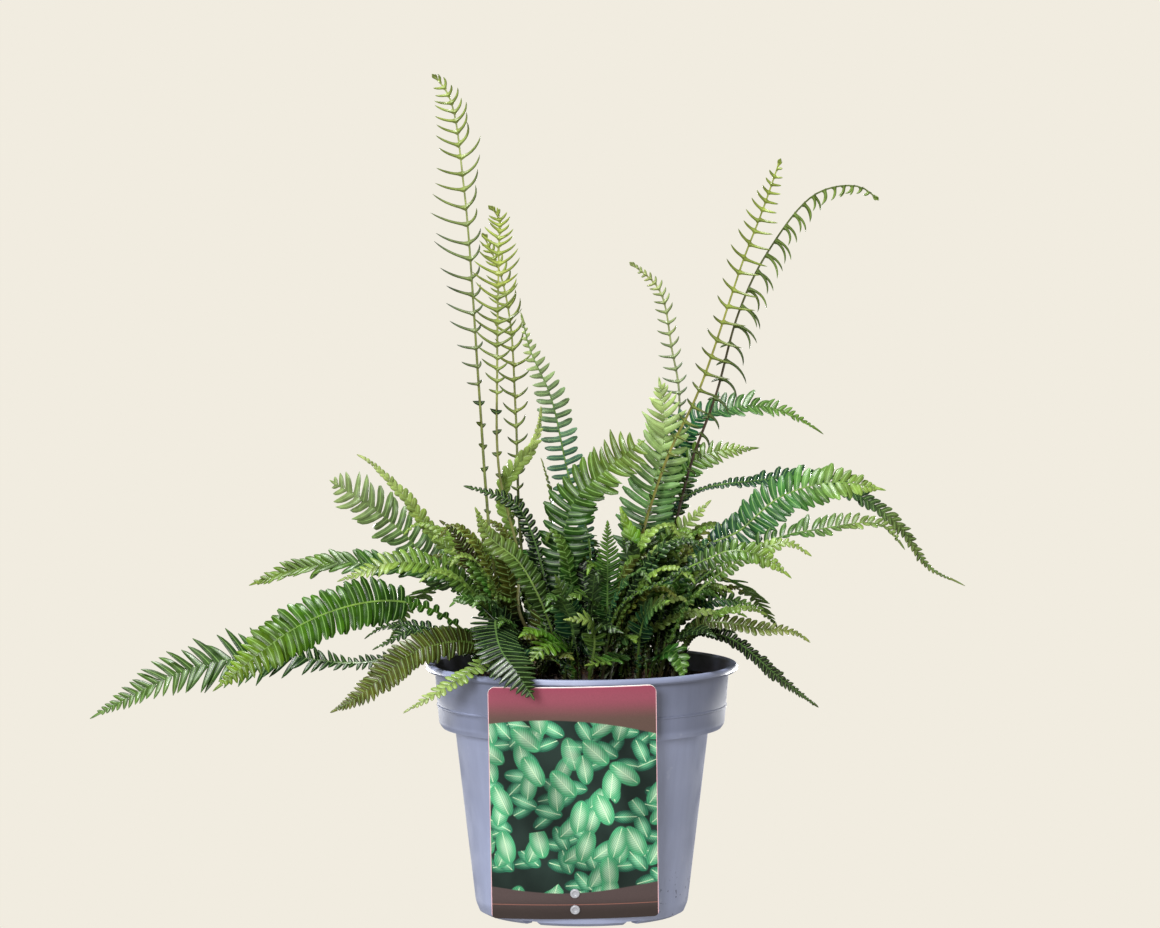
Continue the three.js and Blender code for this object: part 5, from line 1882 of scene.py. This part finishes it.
@dataclass
class Crown:
    """A scaly crown at the soil, with the stubs of old stalks."""

    number: int
    radius: float = 7.0
    rise: float = 6.4
    sunk: float = 5.0
    sides: int = 18
    scales: int = 46
    stubs: int = 5

    def build(self, moulds: Moulds, finish: Material) -> Piece:
        """Build the crown.

        Args:
            moulds: The leaflet moulds.
            finish: The rhizome material.

        Returns:
            The finished piece.
        """
        work = Workpiece()
        rng = random.Random(f"crown {self.number}")
        centre = Vector((*CROWNS[self.number], 0))
        low = SOIL_TOP - self.sunk
        profile = ((0, low), (self.radius - 1, low), (self.radius, SOIL_TOP + 1),
                   (self.radius * 0.82, SOIL_TOP + 4),
                   (self.radius * 0.45, SOIL_TOP + self.rise - 0.8), (0, SOIL_TOP + self.rise))
        work.turn(profile, self.sides)
        for vert in work.bm.verts:
            vert.co.xy *= 1 + 0.12 * noise.noise(vert.co * 0.4 + centre)
        work.paint(work.bm.verts, BARK)
        for k in range(self.scales):
            self.scale(work, moulds, rng, k)
        for _ in range(self.stubs):
            self.stub(work, rng)
        bmesh.ops.translate(work.bm, verts=work.bm.verts[:], vec=centre)
        name = f"crown_{self.number + 1}"
        return work.finish(f"scaly_{name}", "rhizome", [finish], [name])

    def scale(self, work: Workpiece, moulds: Moulds, rng: random.Random, k: int) -> None:
        """Add one papery scale that points up and out.

        Args:
            work: The crown's mesh.
            moulds: The leaflet moulds.
            rng: The crown's random draws.
            k: The scale's number.
        """
        share = (k + 0.5) / self.scales
        angle = k * math.radians(GOLDEN_TURN)
        out = Vector((math.cos(angle), math.sin(angle), 0))
        level = SOIL_TOP + self.rise * (1 - share ** 2)
        place = out * (self.radius * (0.15 + 0.8 * share)) + Vector((0, 0, level))
        up = Vector((0, 0, 1))
        frame_at = RibFrame(place - up * 0.6, out.cross(up), (up * 0.7 + out * 0.7).normalized(),
                            (out * 0.7 - up * 0.7).normalized())
        pose = LeafletPose(frame_at, 1, rng.uniform(4, 6.5), 0.75, rng.uniform(-16, 16), 10,
                           rng.uniform(-20, 24), 24)
        shade = blend(BARK, linear(104, 68, 40), rng.random())
        moulds.scale.cast(work, pose, shade, shade)

    def stub(self, work: Workpiece, rng: random.Random) -> None:
        """Add the stub of an old stalk.

        Args:
            work: The crown's mesh.
            rng: The crown's random draws.
        """
        angle = rng.uniform(0, math.tau)
        out = Vector((math.cos(angle), math.sin(angle), 0))
        foot = out * (self.radius * rng.uniform(0.3, 0.8)) + Vector((0, 0, SOIL_TOP + 1))
        reach = (out * 0.35 + Vector((0, 0, 1))).normalized() * rng.uniform(5, 8)
        side = out.cross(Vector((0, 0, 1)))
        other = side.cross(reach).normalized()

        def place(along: float, turn: float) -> Vector:
            """Give a point of the stub's skin.

            Args:
                along: The share of the length.
                turn: The share of the way round.

            Returns:
                The point.
            """
            radius = 1.1 - 0.2 * along
            return (foot + reach * along + side * (radius * math.cos(turn * math.tau))
                    + other * (radius * math.sin(turn * math.tau)))

        shade = blend(BARK, linear(86, 70, 46), rng.random())
        work.tube(3, 8, place, lambda along: shade)


@dataclass
class Label:
    """The plastic label: a bowed card that leans on the lip and the foot, and its two rivets."""

    wide: float = 90.0
    tall: float = 131.4
    thick: float = 0.8
    bow: float = 3.0
    corner: float = 4.4
    foot_corner: float = 2.6
    lean: float = 11.9
    roll: float = 0.8
    foot: Triple = (-3.5, -59.0, 5.5)
    rivets: tuple[float, ...] = (5.5, 14.8)
    head: float = 2.6
    head_tall: float = 1.1
    shank: float = 1.4
    shank_deep: float = 3.0
    dimple: float = 1.2
    dimple_rim: float = 1.6
    dimple_deep: float = 0.6
    gap: float = 0.35
    bends: int = 16

    def place(self) -> Matrix:
        """Give the turn and move from the upright card to the leaning one."""
        return (Matrix.Translation(self.foot) @ Matrix.Rotation(math.radians(-self.roll), 4, "Y")
                @ Matrix.Rotation(math.radians(self.lean), 4, "X"))

    def build_card(self, front: Material, back: Material) -> Piece:
        """Build the card.

        Args:
            front: The printed face's material.
            back: The bare plastic's material.

        Returns:
            The finished piece.
        """
        work = Workpiece()
        bm = work.bm
        half = self.wide / 2
        spots = ((-half, 0), (half, 0), (half, self.tall), (-half, self.tall))
        corners = [bm.verts.new((x, -self.thick, z)) for x, z in spots]
        bm.faces.new(corners)
        for spot, round_off in ((corners[2:], self.corner), (corners[:2], self.foot_corner)):
            bmesh.ops.bevel(bm, geom=spot, offset=round_off, offset_type="OFFSET", segments=6,
                            profile=0.5, affect="VERTICES", material=-1, clamp_overlap=True)
        for k in range(1, self.bends):
            bmesh.ops.bisect_plane(bm, geom=bm.verts[:] + bm.edges[:] + bm.faces[:], dist=1e-4,
                                   plane_co=(-half + self.wide * k / self.bends, 0, 0), plane_no=(1, 0, 0))
        shell = bmesh.ops.extrude_face_region(bm, geom=bm.faces[:])["geom"]
        moved = [item for item in shell if isinstance(item, Corner)]
        bmesh.ops.translate(bm, verts=moved, vec=(0, self.thick, 0))
        bmesh.ops.recalc_face_normals(bm, faces=bm.faces[:])
        for face in bm.faces:
            face.normal_update()
            face.material_index = 0 if face.normal.y < -0.9 else 1
            for loop in face.loops:
                loop[work.map].uv = (loop.vert.co.x / self.wide + 0.5, loop.vert.co.z / self.tall)
        for vert in bm.verts:
            vert.co.y += self.bow * (vert.co.x / half) ** 2
        bmesh.ops.transform(bm, matrix=self.place(), verts=bm.verts[:])
        return work.finish("plant_label", "card", [front, back], ["label"], sharp=40)

    def build_rivet(self, number: int, finish: Material) -> Piece:
        """Build one rivet: a round head with a hollow and a shank through the pot's wall.

        Args:
            number: The rivet's number, from 1.
            finish: The rivet's material.

        Returns:
            The finished piece.
        """
        work = Workpiece()
        under = -self.thick - self.gap
        face = under - self.head_tall
        hollow = face + self.dimple_deep
        work.turn([(0, hollow), (self.dimple, hollow), (self.dimple_rim, face), (self.head - 0.4, face),
                   (self.head, face + 0.5), (self.head, under), (self.shank, under),
                   (self.shank, self.shank_deep), (0, self.shank_deep)], 28,
                  ((self.dimple_rim, face, 0.15), (self.head - 0.4, face, 0.2),
                   (self.head, face + 0.5, 0.15)))
        bmesh.ops.rotate(work.bm, matrix=Matrix.Rotation(math.radians(-90), 3, "X"), verts=work.bm.verts[:])
        bmesh.ops.translate(work.bm, vec=(0, 0, self.rivets[number - 1]), verts=work.bm.verts[:])
        bmesh.ops.transform(work.bm, matrix=self.place(), verts=work.bm.verts[:])
        name = f"rivet_{number}"
        return work.finish(f"push_{name}", "rivet_plastic", [finish], [name], sharp=60)


@dataclass
class Studio:
    """The floor, the lights and the camera, in metres."""

    eye: Triple = (0.0, -3.5, 0.538)
    aim: Triple = (-0.001, 0.0, 0.246)
    lens: float = 200.3
    reach: float = 9.0
    flat: float = 0.6
    rise_steps: int = 12

    def floor(self, finish: Material) -> None:
        """Add the floor, a wide dish that rises far from the plant on all sides.

        Args:
            finish: The floor's material.
        """
        bm = bmesh.new()
        spots = [(0.0, 0.0), (self.reach * self.flat, 0.0)]
        bend = self.reach * (1 - self.flat)
        for k in range(1, self.rise_steps + 1):
            turn = math.radians(90 * k / self.rise_steps)
            spots.append((self.reach - bend * (1 - math.sin(turn)), bend * (1 - math.cos(turn))))
        spots.append((self.reach, self.reach))
        verts = [bm.verts.new((x, 0, z)) for x, z in spots]
        edges = [bm.edges.new(pair) for pair in zip(verts, verts[1:])]
        bmesh.ops.spin(bm, geom=verts + edges, cent=(0, 0, 0), axis=(0, 0, 1), dvec=(0, 0, 0),
                       angle=math.tau, steps=48, use_merge=True, use_duplicate=False)
        bmesh.ops.remove_doubles(bm, verts=bm.verts[:], dist=1e-4)
        bmesh.ops.recalc_face_normals(bm, faces=bm.faces[:])
        for face in bm.faces:
            face.smooth = True
        mesh = bpy.data.meshes.new("studio_floor")
        bm.to_mesh(mesh)
        bm.free()
        mesh.materials.append(finish)
        floor = bpy.data.objects.new("studio_floor", mesh)
        bpy.context.scene.collection.objects.link(floor)
        floor.visible_glossy = False

    def lamp(self, name: str, place: Triple, target: Triple, size: Pair, power: float) -> None:
        """Add one soft lamp.

        Args:
            name: The lamp's name.
            place: Where it stands.
            target: What it points at.
            size: Its width and height.
            power: Its power in watts.
        """
        data = bpy.data.lights.new(name, "AREA")
        data.shape, data.energy = "RECTANGLE", power
        data.size, data.size_y = size
        lamp = bpy.data.objects.new(name, data)
        lamp.location = place
        lamp.rotation_euler = (Vector(target) - Vector(place)).to_track_quat("-Z", "Y").to_euler()
        bpy.context.scene.collection.objects.link(lamp)

    def lights(self) -> None:
        """Add the soft lamps above and in front, the two low strips behind, and the pale surroundings."""
        middle = (0.0, 0.0, 0.2)
        self.lamp("key_softbox", (-0.6, -0.6, 2.5), middle, (0.5, 0.5), 140)
        self.lamp("front_softbox", (-0.8, -2.9, 0.9), middle, (0.8, 0.8), 100)
        self.lamp("left_strip", (-0.95, 1.65, 0.06), (0.0, 0.0, 0.06), (1.2, 0.1), 28)
        self.lamp("right_strip", (0.95, 1.65, 0.06), (0.0, 0.0, 0.06), (1.2, 0.1), 28)
        world = bpy.data.worlds.new("studio")
        world.use_nodes = True
        backdrop = world.node_tree.nodes["Background"]
        backdrop.inputs["Color"].default_value = linear(243, 238, 226)
        backdrop.inputs["Strength"].default_value = 0.03
        bpy.context.scene.world = world

    def camera(self) -> None:
        """Set the camera at the photograph's place."""
        data = bpy.data.cameras.new("camera")
        data.lens, data.sensor_width = self.lens, 36.0
        data.clip_end = 100.0
        camera = bpy.data.objects.new("camera", data)
        camera.location = self.eye
        camera.rotation_euler = (Vector(self.aim) - Vector(self.eye)).to_track_quat("-Z", "Y").to_euler()
        bpy.context.scene.collection.objects.link(camera)
        bpy.context.scene.camera = camera
        bpy.context.scene.view_settings.view_transform = "Standard"


def main() -> None:
    """Build the plant, its pot and its label, and set the studio."""
    logging.basicConfig(level=logging.INFO, format="%(message)s")
    studio = Studio()
    studio.camera()
    leaf = LeafFinish().material()
    rhizome = BarkFinish().material()
    moulds = Moulds()
    Pot().build(PotFinish().material())
    Soil().build(CompostFinish().material())
    label = Label()
    card_back = PlainPlastic("card_back", linear(214, 208, 204), 0.4)
    label.build_card(PrintFinish().material(), card_back.material())
    rivet_plastic = PlainPlastic("rivet_plastic", linear(150, 152, 160), 0.35).material()
    for number in (1, 2):
        label.build_rivet(number, rivet_plastic)
    for number in range(len(CROWNS)):
        Crown(number).build(moulds, rhizome)
    for number in range(len(CROWNS)):
        Heart(number).build(moulds, leaf)
    for frond in FRONDS:
        frond.build(moulds, leaf)
    studio.floor(StudioFinish().material())
    studio.lights()


if __name__ == "__main__":
    main()
